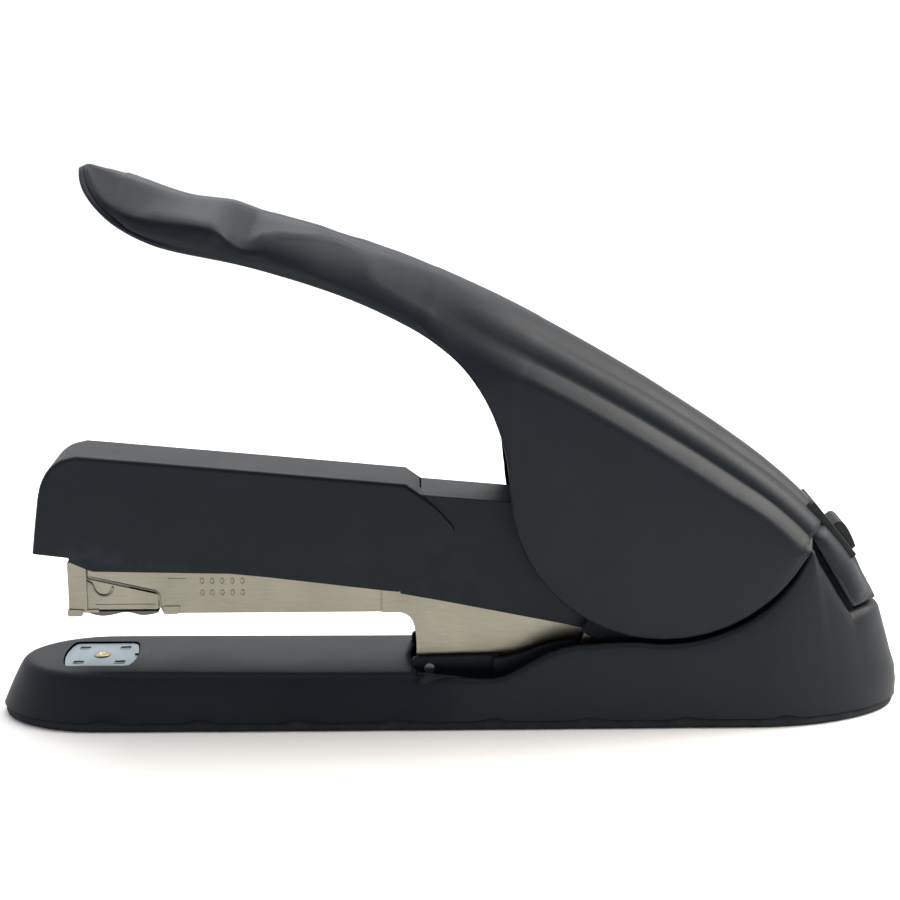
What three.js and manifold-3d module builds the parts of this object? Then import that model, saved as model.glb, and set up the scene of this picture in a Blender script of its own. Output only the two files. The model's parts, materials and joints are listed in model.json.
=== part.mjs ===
// A long-handled desktop stapler as an assembly of separate pieces.
// Millimetres, +Z up. The jaw opens towards -X, the pieces are symmetric about Y = 0,
// and the origin is on the ground under the middle of the base.
import * as THREE from 'three';
import { mergeVertices } from 'three/addons/utils/BufferGeometryUtils.js';
import Module from 'manifold-3d';

const wasm = await Module();
wasm.setup();

// ---------------------------------------------------------------- driving dimensions
const FRONT = -115;
const REAR = 115;
const BASE_HALF_WIDTH = 19.4;
const BASE_FRONT_HALF_WIDTH = 16.8;
const SOLE_THICKNESS = 2.2;
const GAP = 0.3;
const PAD_TOP = 13.2;
const PAD_REAR = -10;
const SHELL_WALL = 2.4;

const HANDLE_PIVOT = { x: 52.7, z: 61 };
const ARM_PIVOT = { x: 82, z: 30 };
const CHEEK_RADIUS = 38;
const CHEEK_HALF_WIDTH = 17;
const CHEEK_WALL = 2.8;
const TAIL_RADIUS = 57.4;

const HEAD_SLOPE = -0.0866;
const HEAD_SLOPE_START = -90;
const MAGAZINE_FLOOR = 27.2;
const SHEATH_HALF_WIDTH = 7.1;
const SHEATH_SHEET = 0.6;
const SHEATH_TOP = 39.5;
const STAPLE_SLOT_X = -92.4;
const RAIL_HALF_WIDTH = 5.6;
const RAIL_TOP = 36.8;
const RAIL_REAR = 25;
const ARM_PLATE = { inner: 7.4, outer: 8.3 };

const ANVIL_X = -88.5;
const ANVIL_TOP = 12.7;
const ANVIL_THICKNESS = 0.7;

const LEVER_ROLLER = { x: 38.7, z: 56.5, radius: 5 };
const PIN_RADIUS = 3;
const PIN_CLEARANCE = 0.35;

// Screws that hold the lever under the crown, and those that hold the frame to the sole.
const LEVER_SCREW_X = [-30, 5];
const SCREW_PLACES = [[24, -6], [24, 6], [86, -6], [86, 6]];

// ---------------------------------------------------------------- materials
const paint = (color, roughness, metalness) =>
  new THREE.MeshStandardMaterial({ color, roughness, metalness });
const BLACK_PLASTIC = [0x23282c, 0.55, 0];
const DARK_PLASTIC = [0x1b1e21, 0.6, 0];
const RUBBER = [0x16181a, 0.85, 0];
const NICKEL = [0x9c9482, 0.35, 0.9];
const BRIGHT_STEEL = [0xa9b9c2, 0.3, 0.9];
const BLUED_STEEL = [0x2c2f35, 0.35, 0.9];
const ZINC = [0xb0b3b3, 0.4, 0.9];

const stapler = new THREE.Group();

function add(name, geometry, finish) {
  const mesh = new THREE.Mesh(geometry, paint(...finish));
  mesh.name = name;
  stapler.add(mesh);
}

// ---------------------------------------------------------------- solid modelling helpers
function solid(geometry) {
  const bare = geometry.clone();
  bare.deleteAttribute('normal');
  bare.deleteAttribute('uv');
  const merged = mergeVertices(bare, 1e-4);
  return new wasm.Manifold(new wasm.Mesh({
    numProp: 3,
    vertProperties: new Float32Array(merged.attributes.position.array),
    triVerts: new Uint32Array(merged.index.array),
  }));
}

function geometryOf(manifold) {
  const mesh = manifold.getMesh();
  const geometry = new THREE.BufferGeometry();
  geometry.setAttribute('position', new THREE.BufferAttribute(mesh.vertProperties.slice(), 3));
  geometry.setIndex(new THREE.BufferAttribute(mesh.triVerts.slice(), 1));
  geometry.computeVertexNormals();
  return geometry;
}

const union = (first, ...others) => others.reduce((sum, piece) => sum.add(piece), first);
const cut = (body, ...tools) => tools.reduce((rest, tool) => rest.subtract(tool), body);

function outline(points) {
  return new THREE.Shape(points.map(([x, y]) => new THREE.Vector2(x, y)));
}

const asShape = (profile) => (Array.isArray(profile) ? outline(profile) : profile);

// A plate whose outline is given in X and Z, from y = low to y = high.
function sidePlate(profile, low, high, curveSegments = 8) {
  const geometry = new THREE.ExtrudeGeometry(asShape(profile), {
    depth: high - low, bevelEnabled: false, curveSegments,
  });
  const axes = new THREE.Matrix4().makeBasis(
    new THREE.Vector3(1, 0, 0), new THREE.Vector3(0, 0, 1), new THREE.Vector3(0, -1, 0));
  return solid(geometry.applyMatrix4(axes).translate(0, high, 0));
}

// The same plate on both sides of the middle plane.
function platePair(profile, inner, outer, curveSegments = 8) {
  const right = sidePlate(profile, -outer, -inner, curveSegments);
  return right.add(sidePlate(profile, inner, outer, curveSegments));
}

// A bar whose section is given in Y and Z, from x = low to x = high.
function bar(section, low, high) {
  const geometry = new THREE.ExtrudeGeometry(asShape(section), {
    depth: high - low, bevelEnabled: false,
  });
  const axes = new THREE.Matrix4().makeBasis(
    new THREE.Vector3(0, 1, 0), new THREE.Vector3(0, 0, 1), new THREE.Vector3(1, 0, 0));
  return geometry.applyMatrix4(axes).translate(low, 0, 0);
}

function block(x0, x1, y0, y1, z0, z1) {
  const geometry = new THREE.BoxGeometry(x1 - x0, y1 - y0, z1 - z0);
  return solid(geometry.translate((x0 + x1) / 2, (y0 + y1) / 2, (z0 + z1) / 2));
}

function crossRod(at, radius, low, high, segments = 20) {
  const geometry = new THREE.CylinderGeometry(radius, radius, high - low, segments);
  return solid(geometry.translate(at.x, (low + high) / 2, at.z));
}

function upright(x, y, radius, low, high, segments = 20) {
  const geometry = new THREE.CylinderGeometry(radius, radius, high - low, segments);
  return solid(geometry.rotateX(Math.PI / 2).translate(x, y, (low + high) / 2));
}

// Mirror a YZ section, given on its +Y side from the bottom up, into a closed symmetric outline.
function symmetric(side) {
  const left = side.slice().reverse().map(([y, z]) => [-y, z]);
  return outline([...side, ...left]);
}

// Sections of the head follow its sloping top: z is given at HEAD_SLOPE_START.
function headBar(section, low, high) {
  const shear = new THREE.Matrix4().set(
    1, 0, 0, 0, 0, 1, 0, 0, HEAD_SLOPE, 0, 1, -HEAD_SLOPE * HEAD_SLOPE_START, 0, 0, 0, 1);
  return solid(bar(section, low, high).applyMatrix4(shear));
}

// A line of points moved sideways: to the right of its direction of travel for a positive distance.
function offsetLine(points, distance) {
  return points.map((point, i) => {
    const before = points[Math.max(i - 1, 0)];
    const after = points[Math.min(i + 1, points.length - 1)];
    const along = new THREE.Vector2().subVectors(after, before).normalize();
    return new THREE.Vector2(point.x + along.y * distance, point.y - along.x * distance);
  });
}

// A coil of round wire about a line through the origin of its own frame, +Z along its axis.
function coilGeometry({ radius, wire, height, turns, stepsPerTurn = 10, sides = 6 }) {
  class Helix extends THREE.Curve {
    getPoint(t) {
      const angle = t * turns * 2 * Math.PI;
      return new THREE.Vector3(radius * Math.cos(angle), radius * Math.sin(angle), t * height);
    }
  }
  const section = new THREE.Shape().absarc(0, 0, wire / 2, 0, 2 * Math.PI);
  return new THREE.ExtrudeGeometry(section, {
    extrudePath: new Helix(), steps: turns * stepsPerTurn, curveSegments: sides / 2, bevelEnabled: false,
  });
}

// ---------------------------------------------------------------- curves of the handle
// The crown runs along the top of the handle, from its tip to its tail.
const CROWN = [
  [-88, 138.4], [-79, 136], [-68, 132.4], [-56, 129.9], [-40, 125.6], [-11, 115.8], [15, 104.4],
  [45, 87.6], [68, 72.8], [87, 57.4],
].map(([x, z]) => new THREE.Vector2(x, z));

// The belly runs along the underside of the grip and down the front edge of the cheeks.
const BELLY = [
  [14.4, 61], [12, 73.5], [4, 86.4], [-8, 96.4], [-26, 105.6], [-47, 112.6], [-65, 116],
  [-79, 121.6], [-86.4, 129.6],
].map(([x, z]) => new THREE.Vector2(x, z));

const crownPoints = (count) => new THREE.SplineCurve(CROWN).getPoints(count);

function pointOnCircle(centre, radius, angle) {
  return [centre.x + radius * Math.cos(angle), centre.z + radius * Math.sin(angle)];
}

const APEX_ANGLE = THREE.MathUtils.degToRad(-20.4);
const TAIL_ANGLE = THREE.MathUtils.degToRad(-34);

// ---------------------------------------------------------------- base
function basePlan(inset) {
  const frontCentre = FRONT + 28;
  const rearCentre = REAR - 31;
  const half = BASE_HALF_WIDTH - inset;
  const frontHalf = BASE_FRONT_HALF_WIDTH - inset;
  const shape = new THREE.Shape();
  shape.absellipse(frontCentre, 0, 28 - inset, frontHalf, Math.PI / 2, 1.5 * Math.PI);
  shape.quadraticCurveTo(-25, -half, 10, -half);
  shape.absellipse(rearCentre, 0, 31 - inset, half, -Math.PI / 2, Math.PI / 2);
  shape.lineTo(10, half);
  shape.quadraticCurveTo(-25, half, frontCentre, frontHalf);
  return shape;
}

// The plan drawn up into a block that narrows with height and leans in at both ends.
function baseBlock(inset, low, high) {
  const geometry = new THREE.ExtrudeGeometry(basePlan(inset), {
    depth: high - low, steps: 6, curveSegments: 8, bevelEnabled: false,
  });
  const place = geometry.translate(0, 0, low).attributes.position;
  for (let i = 0; i < place.count; i += 1) {
    const x = place.getX(i);
    const z = place.getZ(i);
    const rearShare = Math.max(0, (x - 70) / (REAR - 70));
    const frontShare = Math.max(0, (-80 - x) / (-80 - FRONT));
    const lean = -0.38 * Math.max(0, z - 8) * rearShare + 0.37 * Math.max(0, z) * frontShare;
    place.setX(i, x + lean);
    place.setY(i, place.getY(i) * (1 - 0.0026 * Math.max(0, z)));
  }
  return solid(geometry);
}

function baseSideProfile() {
  const rim = CHEEK_RADIUS + 1.3;
  const shape = new THREE.Shape();
  shape.moveTo(FRONT - 5, SOLE_THICKNESS + GAP);
  shape.lineTo(REAR + 5, SOLE_THICKNESS + GAP);
  shape.lineTo(REAR + 5, 33.5);
  shape.lineTo(104.6, 33.5);
  shape.lineTo(103.6, 32.6);
  shape.lineTo(...pointOnCircle(HANDLE_PIVOT, TAIL_RADIUS + 0.9, TAIL_ANGLE - 0.01));
  shape.lineTo(...pointOnCircle(HANDLE_PIVOT, rim, APEX_ANGLE));
  shape.absarc(HANDLE_PIVOT.x, HANDLE_PIVOT.z, rim, APEX_ANGLE, -0.5 * Math.PI - 0.2, true);
  shape.quadraticCurveTo(30, 21.8, 24, 19.2);
  shape.quadraticCurveTo(17, 13.4, 10, PAD_TOP);
  shape.lineTo(FRONT - 5, PAD_TOP);
  return shape;
}

// The platform's long edges are rounded down to its sides.
function platformLimit() {
  const side = [[21, 0], [21, 3], [19, 8], [17.5, 11.3], [16.2, 12.7], [14.8, PAD_TOP]];
  const front = solid(bar(symmetric(side), FRONT - 5, PAD_REAR));
  return front.add(block(PAD_REAR - GAP, REAR + 5, -25, 25, 0, 60));
}

function anvilOutline(grow) {
  const shape = new THREE.Shape();
  const halfWidth = 8.75 + grow;
  const corner = 6.6 + grow;
  const bulge = 11.4 + grow;
  shape.moveTo(ANVIL_X - corner, -halfWidth);
  shape.lineTo(ANVIL_X + corner, -halfWidth);
  shape.quadraticCurveTo(ANVIL_X + bulge, 0, ANVIL_X + corner, halfWidth);
  shape.lineTo(ANVIL_X - corner, halfWidth);
  shape.quadraticCurveTo(ANVIL_X - bulge, 0, ANVIL_X - corner, -halfWidth);
  return shape;
}

function flatPlate(shape, low, high, curveSegments = 8) {
  const geometry = new THREE.ExtrudeGeometry(shape, {
    depth: high - low, bevelEnabled: false, curveSegments,
  });
  return solid(geometry.translate(0, 0, low));
}

// Behind the pad the base is closed beside the slot that the magazine arm dips into.
// The slot is wider at the rear, where the housing dips into it too.
const SLOT_HALF_WIDTH = 9;
const LEDGE_HALF_WIDTH = 10.4;
const HOUSING_SLOT_HALF_WIDTH = 10.7;
const REAR_LEDGE_HALF_WIDTH = 12.1;

function slotSurround() {
  const frontLedge = [[PAD_REAR + 0.6, 8.6], [PAD_REAR + 0.6, 16.2], [12, 16.7], [12, 8.6]];
  const frontFloor = [[PAD_REAR - 0.4, 8.6], [PAD_REAR - 0.4, 10.6], [12, 10.6], [12, 8.6]];
  const rearLedge = new THREE.Shape();
  rearLedge.moveTo(10.5, 8.6);
  rearLedge.lineTo(10.5, 16.4);
  rearLedge.lineTo(12, 16.5);
  rearLedge.quadraticCurveTo(17, 17, 24, 19.9);
  rearLedge.lineTo(31, 21.2);
  rearLedge.lineTo(31, 18);
  rearLedge.lineTo(16, 8.6);
  const rearFloor = [[12, 8.6], [12, 10.6], [21, 15], [28, 18.4], [28, 15.4], [21, 12], [13, 8.6]];
  const floorEdge = BASE_HALF_WIDTH - 1;
  const floor = platePair(frontFloor, SLOT_HALF_WIDTH, floorEdge)
    .add(platePair(rearFloor, HOUSING_SLOT_HALF_WIDTH, floorEdge));
  return union(
    platePair(frontLedge, SLOT_HALF_WIDTH, LEDGE_HALF_WIDTH),
    platePair(rearLedge, HOUSING_SLOT_HALF_WIDTH, REAR_LEDGE_HALF_WIDTH, 6),
    floor.intersect(baseBlock(1, 0, 60)));
}

function baseShell() {
  const outside = sidePlate(baseSideProfile(), -25, 25, 12)
    .intersect(baseBlock(0, 0, 60))
    .intersect(platformLimit());
  const inside = baseBlock(SHELL_WALL, -2, 58);
  const underPad = inside.intersect(block(FRONT, PAD_REAR - 2, -25, 25, -3, 10.6));
  const behindPad = inside.intersect(block(PAD_REAR, REAR, -25, 25, -3, 60));
  const recess = flatPlate(anvilOutline(GAP), ANVIL_TOP - ANVIL_THICKNESS - GAP, 20);
  const postHole = upright(ANVIL_X, 0, 2.6, 0, 20);
  const slotEnd = block(PAD_REAR - 3, PAD_REAR + 0.3, -SLOT_HALF_WIDTH, SLOT_HALF_WIDTH, 5, 10.7);
  const shell = cut(outside, underPad, behindPad, recess, postHole);
  return shell.add(slotSurround()).subtract(slotEnd).subtract(studHoles());
}

// Two studs through the ledge guide the magazine arm in its slot.
const GUIDE_STUD = { x: -5.4, z: 13.6 };
const guideStud = (low, high) => crossRod(GUIDE_STUD, 1.3, low, high, 16);

function studHoles() {
  return union(
    crossRod(GUIDE_STUD, 1.6, SLOT_HALF_WIDTH - 1, LEDGE_HALF_WIDTH + 1, 16),
    crossRod(GUIDE_STUD, 1.6, -LEDGE_HALF_WIDTH - 1, -SLOT_HALF_WIDTH + 1, 16));
}

function baseSole() {
  const plate = flatPlate(basePlan(1), 0, SOLE_THICKNESS, 10);
  const buttonHole = upright(ANVIL_X, 0, 4.2, -1, 5);
  const screwWells = SCREW_PLACES.map(([x, y]) => upright(x, y, 3.4, -1, 5, 16));
  return cut(plate, buttonHole, ...screwWells);
}

// A screw standing head down: its head from z = 0 to `head`, its shank up to z = length.
function screwGeometry(headRadius, head, shankRadius, length) {
  const points = [[0, 0], [headRadius, 0], [headRadius, head], [shankRadius, head], [shankRadius, length],
    [0, length]];
  const profile = points.map(([r, z]) => new THREE.Vector2(r, z));
  return new THREE.LatheGeometry(profile, 14).rotateX(Math.PI / 2);
}

// A channel of steel: a floor plate with an upright on each side for both hinge pins.
function baseFrame() {
  const inner = 10.8;
  const outer = 12.3;
  const low = 3.2;
  const shape = new THREE.Shape();
  shape.moveTo(22, low);
  shape.lineTo(92, low);
  shape.lineTo(91, 34);
  shape.lineTo(62, 66);
  shape.absarc(HANDLE_PIVOT.x, HANDLE_PIVOT.z, 9, 0.4, Math.PI, false);
  shape.lineTo(30, 12);
  shape.lineTo(22, 8);
  const floor = block(22, 92, -outer, outer, low, 4.8);
  const walls = platePair(shape, inner, outer, 8);
  const holes = [HANDLE_PIVOT, ARM_PIVOT].map((pin) => crossRod(pin, PIN_RADIUS + PIN_CLEARANCE, -14, 14));
  const screwHoles = SCREW_PLACES.map(([x, y]) => upright(x, y, 1.8, 2, 6, 12));
  return cut(floor.add(walls), ...holes, ...screwHoles);
}

// A pin across the stapler with a low head on each end.
function headedPin(at, radius, half, head) {
  const headRadius = radius + head;
  const points = [[0, -half - head], [headRadius, -half - head], [headRadius, -half], [radius, -half],
    [radius, half], [headRadius, half], [headRadius, half + head], [0, half + head]];
  const profile = points.map(([r, y]) => new THREE.Vector2(r, y));
  return new THREE.LatheGeometry(profile, 16).translate(at.x, 0, at.z);
}

function uprightCoil(x, y, low, settings) {
  return coilGeometry(settings).translate(x, y, low);
}

// ---------------------------------------------------------------- anvil
function anvilPlate() {
  const plate = flatPlate(anvilOutline(0), ANVIL_TOP - ANVIL_THICKNESS, ANVIL_TOP);
  const grooves = [];
  for (const side of [-1, 1]) {
    for (const end of [-1, 1]) {
      const x = ANVIL_X + end * 5;
      const y = side * 5.3;
      grooves.push(block(x - 1, x + 1, y - 1.2, y + 1.2, ANVIL_TOP - 0.35, ANVIL_TOP + 1));
    }
  }
  return cut(plate, ...grooves, upright(ANVIL_X, 0, 2.3, 0, 20));
}

function anvilPost() {
  const shaft = upright(ANVIL_X, 0, 1.95, 5.6, 12.9);
  return shaft.add(upright(ANVIL_X, 0, 2.15, 12.3, 13.05));
}

function anvilButton() {
  const flange = upright(ANVIL_X, 0, 5.6, 4, 5.3);
  return flange.add(upright(ANVIL_X, 0, 3.6, 1, 4.5));
}

// ---------------------------------------------------------------- handle
function handleSideProfile() {
  const tailTip = pointOnCircle(HANDLE_PIVOT, TAIL_RADIUS, TAIL_ANGLE);
  const shape = new THREE.Shape();
  shape.moveTo(CROWN[0].x, CROWN[0].y);
  shape.splineThru(CROWN.slice(1));
  shape.lineTo(101.6, 40.6);
  shape.lineTo(103.6, 35.6);
  shape.lineTo(102.6, 33.6);
  shape.lineTo(...tailTip);
  shape.lineTo(...pointOnCircle(HANDLE_PIVOT, CHEEK_RADIUS + 0.6, APEX_ANGLE + 0.02));
  shape.absarc(HANDLE_PIVOT.x, HANDLE_PIVOT.z, CHEEK_RADIUS, APEX_ANGLE, -Math.PI, true);
  shape.splineThru(BELLY);
  return shape;
}

// The section of the handle across its crown: a narrow flat, sloping shoulders and upright sides.
function handleCrownLimit() {
  const path = new THREE.CatmullRomCurve3([
    [-96, 141], [-60, 131.8], [-25, 121], [8, 108], [38, 92], [62, 77.8], [87, 58.8], [101.6, 42.2],
    [112, 28],
  ].map(([x, z]) => new THREE.Vector3(x, 0, z)));
  const underCrown = [[0, 15], [110, 15], [90, 38], [62, 58], [20, 82], [0, 70]];
  const side = [[17, 48], [17, 13], [15.6, 7.6], [12.4, 3.2], [8.5, 0.9], [5, 0]];
  const shape = outline([...side, ...side.slice().reverse().map(([y, depth]) => [-y, depth])]);
  const geometry = new THREE.ExtrudeGeometry(shape, {
    extrudePath: path, steps: 26, bevelEnabled: false,
  });
  return solid(geometry).add(sidePlate(underCrown, -CHEEK_HALF_WIDTH, CHEEK_HALF_WIDTH));
}

// The plan of the handle: rounded at the tip, widest at the cheeks, drawn in at the tail.
function handlePlan(inset) {
  const shape = new THREE.Shape();
  const grip = 15 - inset;
  const cheek = CHEEK_HALF_WIDTH - inset;
  shape.moveTo(-70, -grip);
  shape.quadraticCurveTo(-20, -grip, 15, -cheek);
  shape.lineTo(82, -cheek);
  shape.quadraticCurveTo(98, -cheek + 0.6, 106 - inset, -8.5 + inset / 2);
  shape.lineTo(106 - inset, 8.5 - inset / 2);
  shape.quadraticCurveTo(98, cheek - 0.6, 82, cheek);
  shape.lineTo(15, cheek);
  shape.quadraticCurveTo(-20, grip, -70, grip);
  shape.absellipse(-70, 0, 18.6 - inset, grip, 0.5 * Math.PI, 1.5 * Math.PI);
  return shape;
}

// The room inside the handle: everything more than `depth` under the crown, open below.
function handleRoom(depth, halfWidth, plan) {
  const under = offsetLine(crownPoints(28), depth).filter((point) => point.x > -78 && point.x < 84);
  const profile = [...under.map((point) => [point.x, point.y]), [96, 46 - depth], [99, 38],
    [97.5, 20], [-78, 20]];
  return sidePlate(profile, -halfWidth, halfWidth).intersect(plan);
}

function handleShell() {
  const outside = sidePlate(handleSideProfile(), -25, 25, 4)
    .intersect(handleCrownLimit())
    .intersect(flatPlate(handlePlan(0), 0, 150, 8));
  const plan = flatPlate(handlePlan(CHEEK_WALL), -10, 150, 8);
  const middleRoom = handleRoom(6, 12.7, plan);
  const wideRoom = handleRoom(11, 14.2, plan);
  return cut(outside, middleRoom, wideRoom, buttonWell(), ...leverScrewHoles());
}

// A place on the tail: `along` runs down the spine, `out` points away from it.
const TAIL_SPINE = { x: 95, z: 48.5, angle: Math.atan2(-18.5, 15.5) };

function onTail(geometry) {
  const place = new THREE.Matrix4().makeRotationY(-TAIL_SPINE.angle);
  place.setPosition(TAIL_SPINE.x, 0, TAIL_SPINE.z);
  return solid(geometry.clone().applyMatrix4(place));
}

function tailBlock(along0, along1, halfWidth, out0, out1) {
  const geometry = new THREE.BoxGeometry(along1 - along0, 2 * halfWidth, out1 - out0);
  return onTail(geometry.translate((along0 + along1) / 2, 0, (out0 + out1) / 2));
}

const buttonWell = () => tailBlock(-0.5, 8.5, 5.5, -12, 8);
const buttonBezel = () => tailBlock(-9, 9.6, 7, 0.6, 1.8).subtract(buttonWell());

const releaseButton = () => tailBlock(-0.1, 8.1, 5.1, -3.2, 3.6);

const buttonLeaf = () => tailBlock(-3, 8, 3, -7.4, -6.9);

// Two flanges on the handle pin, a strip under the crown that ties them, and the roller's ears.
function handleLever() {
  const inner = 8.7;
  const outer = 9.8;
  const crown = crownPoints(28).filter((point) => point.x > -40 && point.x < 72);
  const top = offsetLine(crown, 6.2);
  const below = offsetLine(crown, 7.4).reverse();
  const low = offsetLine(crown, 12.2).reverse();
  const asPairs = (points) => points.map((point) => [point.x, point.y]);
  const strip = sidePlate([...asPairs(top), ...asPairs(below)], -outer, outer);
  const flange = platePair([...asPairs(top), ...asPairs(low)], inner, outer);
  const lobeSide = [[34, 56], [38, 50.6], [44, 52], [60, 54], [62, 66], [54, 73], [22, 90], [20, 84]];
  const lobe = platePair(lobeSide, inner, outer);
  const holes = [
    crossRod(HANDLE_PIVOT, PIN_RADIUS + PIN_CLEARANCE, -14, 14),
    crossRod(LEVER_ROLLER, 1.8, -14, 14),
  ];
  return cut(union(strip, flange, lobe), ...holes, ...leverScrewHoles());
}

function leverScrew(x, grow = 0) {
  const crown = new THREE.SplineCurve(CROWN);
  const t = findAlong(crown, x);
  const at = crown.getPoint(t);
  const tangent = crown.getTangent(t);
  const geometry = screwGeometry(2.6 - 2 * grow, 1.7, 1.2 + grow, 5 + grow);
  geometry.translate(0, 0, -9.4).rotateY(-Math.atan2(tangent.y, tangent.x));
  return geometry.translate(at.x, 0, at.y);
}

const leverScrewHoles = () => LEVER_SCREW_X.map((x) => solid(leverScrew(x, GAP)));

function findAlong(curve, x) {
  let low = 0;
  let high = 1;
  for (let i = 0; i < 30; i += 1) {
    const middle = (low + high) / 2;
    if (curve.getPoint(middle).x < x) {
      low = middle;
    } else {
      high = middle;
    }
  }
  return low;
}

// ---------------------------------------------------------------- head: cover, housing, drive arm
const COVER_TOP = 69.2;

function coverProfile() {
  const shape = new THREE.Shape();
  shape.moveTo(-104.3, 43.8);
  shape.lineTo(-102.2, 58.4);
  shape.quadraticCurveTo(-101, 69.6, -90, 69.2);
  shape.lineTo(-11, 62.4);
  shape.lineTo(-8.6, 60);
  shape.lineTo(0.4, 49.6);
  shape.lineTo(0.4, 47.8);
  shape.lineTo(-13.1, 33);
  shape.lineTo(-18.5, 33.2);
  shape.lineTo(-54.6, 38.3);
  shape.lineTo(-88, 39.2);
  shape.lineTo(-93.3, 41.2);
  shape.lineTo(-94, 42.6);
  return shape;
}

function headCover() {
  const section = symmetric([[10.8, 26], [10.2, 52], [8.1, 64.4], [7.2, 67.4], [5, COVER_TOP + 0.4]]);
  const room = symmetric([[9.3, 20], [8.8, 52], [6.6, 64], [5.6, 66.6], [4.6, 67.3]]);
  const outside = headBar(section, -110, 5).intersect(sidePlate(coverProfile(), -15, 15, 6));
  const inside = headBar(room, -101.4, 10).intersect(block(-101.4, 10, -15, 15, 20, 70));
  return outside.subtract(inside);
}

function rearHousing() {
  const profile = [
    [-6.3, 58.2], [1.1, 49.7], [1.1, 47.4], [-12.4, 32.5], [-1, 30.4], [27.3, 24.6], [46, 20.2],
    [46, 34], [28, 55.2],
  ];
  const section = symmetric([[10.3, 20], [9.8, 50], [6.4, 65.2]]);
  const room = symmetric([[9.2, 15], [8.75, 50], [5.7, 64]]);
  const outside = headBar(section, -15, 50).intersect(sidePlate(profile, -15, 15));
  return outside.subtract(headBar(room, -20, 55));
}

// An inverted steel channel from the head back to the arm pin, with a flat for the lever's roller.
function driveArm() {
  const inner = 4.2;
  const outer = 5.3;
  const top = [[-90.2, 65.6], [-14, 58.9], [-9, 56.2], [28, 53], [30, 51.2], [48, 51.2], [86, 37]];
  const low = [[82, 22.4], [74, 28], [60, 40], [30, 43.5], [-20, 47.6], [-90.2, 53.4]];
  const web = [...top.slice(0, 6), ...top.slice(0, 6).reverse().map(([x, z]) => [x, z - 1.2])];
  const flanges = platePair([...top, ...low], inner, outer);
  const lobes = union(
    crossRod(ARM_PIVOT, 8, -outer, -inner),
    crossRod(ARM_PIVOT, 8, inner, outer));
  const body = union(flanges, lobes, sidePlate(web, -outer, outer));
  return cut(body, crossRod(ARM_PIVOT, PIN_RADIUS + PIN_CLEARANCE, -14, 14));
}

// The blade leans back so that it stands upright at the bottom of its stroke.
function driverBlade() {
  const lean = THREE.MathUtils.degToRad(3.6);
  const height = 24;
  const geometry = new THREE.BoxGeometry(0.55, 12.5, height);
  geometry.translate(0, 0, height / 2).rotateY(lean);
  return geometry.translate(-93.2, 0, 38.4);
}

// ---------------------------------------------------------------- magazine arm
function magazineSheath() {
  const outer = SHEATH_HALF_WIDTH;
  const inner = outer - SHEATH_SHEET;
  const floorTop = MAGAZINE_FLOOR + SHEATH_SHEET;
  const side = [
    [-89.9, SHEATH_TOP], [-89.9, 36.6], [-72.3, 32.7], [-72, MAGAZINE_FLOOR], [30, MAGAZINE_FLOOR],
    [30, SHEATH_TOP],
  ];
  const walls = platePair(side, inner, outer);
  const floor = block(-72, 30, -outer, outer, MAGAZINE_FLOOR, floorTop);
  const bridge = block(-22, 4, -outer, outer, SHEATH_TOP - SHEATH_SHEET, SHEATH_TOP);
  return union(walls, floor, bridge);
}

function armPlateProfile() {
  const shape = new THREE.Shape();
  shape.moveTo(-17.2, 37.4);
  shape.lineTo(-17.2, 29.2);
  shape.quadraticCurveTo(-17, 27.5, -15, 27.4);
  shape.lineTo(-13, 27.4);
  shape.quadraticCurveTo(-8.9, 26.4, -8.6, 19);
  shape.lineTo(-8.2, 14.2);
  shape.lineTo(38, 14.2);
  shape.lineTo(76, 22);
  shape.absarc(ARM_PIVOT.x, ARM_PIVOT.z, 8, -0.65 * Math.PI, 0.5 * Math.PI, false);
  shape.lineTo(44, 32.2);
  return shape;
}

function armPlate(side) {
  const low = side < 0 ? -ARM_PLATE.outer : ARM_PLATE.inner;
  const high = side < 0 ? -ARM_PLATE.inner : ARM_PLATE.outer;
  const plate = sidePlate(armPlateProfile(), low, high);
  return cut(plate, crossRod(ARM_PIVOT, PIN_RADIUS + PIN_CLEARANCE, -14, 14));
}

const armCrossbar = () => block(24, 38, -ARM_PLATE.inner + GAP, ARM_PLATE.inner - GAP, 24, 25.2);

// ---------------------------------------------------------------- staple drawer
function nosePiece() {
  const outer = SHEATH_HALF_WIDTH;
  const inner = outer - 0.5;
  const side = [[-95, 40.6], [-95, 28.2], [-72.6, 28.2], [-72.6, 32.3], [-90.3, 36.3], [-90.3, 40.6]];
  const front = block(-95, -94.4, -outer, outer, 28.2, 40.6);
  const walls = platePair(side, inner, outer);
  const feet = platePair([[-94.8, 28.4], [-94.8, 26.8], [-91.6, 26.8], [-91.2, 28.4]], inner, outer);
  return union(front, walls, feet);
}

function stapleRail() {
  const outer = RAIL_HALF_WIDTH;
  const walls = platePair([[STAPLE_SLOT_X, 28.2], [RAIL_REAR, 28.2], [RAIL_REAR, RAIL_TOP],
    [STAPLE_SLOT_X, RAIL_TOP]], outer - 0.8, outer);
  const top = block(STAPLE_SLOT_X, RAIL_REAR, -outer, outer, RAIL_TOP - 0.8, RAIL_TOP);
  return walls.add(top);
}

// A blued leaf spring under the nose with two low humps.
function noseSpring() {
  const shape = new THREE.Shape();
  shape.moveTo(-90.6, 27.4);
  shape.lineTo(-90.6, 26.9);
  shape.quadraticCurveTo(-86.5, 25.5, -82, 26.9);
  shape.lineTo(-80, 26.9);
  shape.quadraticCurveTo(-76.5, 25.7, -73, 26.9);
  shape.lineTo(-73, 27.4);
  return sidePlate(shape, -5.4, 5.4, 6);
}

function stapleFollower() {
  const low = 29.6;
  const top = block(-91.8, -80, -6.3, 6.3, RAIL_TOP + GAP, RAIL_TOP + 0.9);
  const sides = platePair([[-91.8, low], [-80, low], [-80, RAIL_TOP + 0.9], [-91.8, RAIL_TOP + 0.9]],
    RAIL_HALF_WIDTH + GAP, 6.3);
  return top.add(sides);
}

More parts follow.
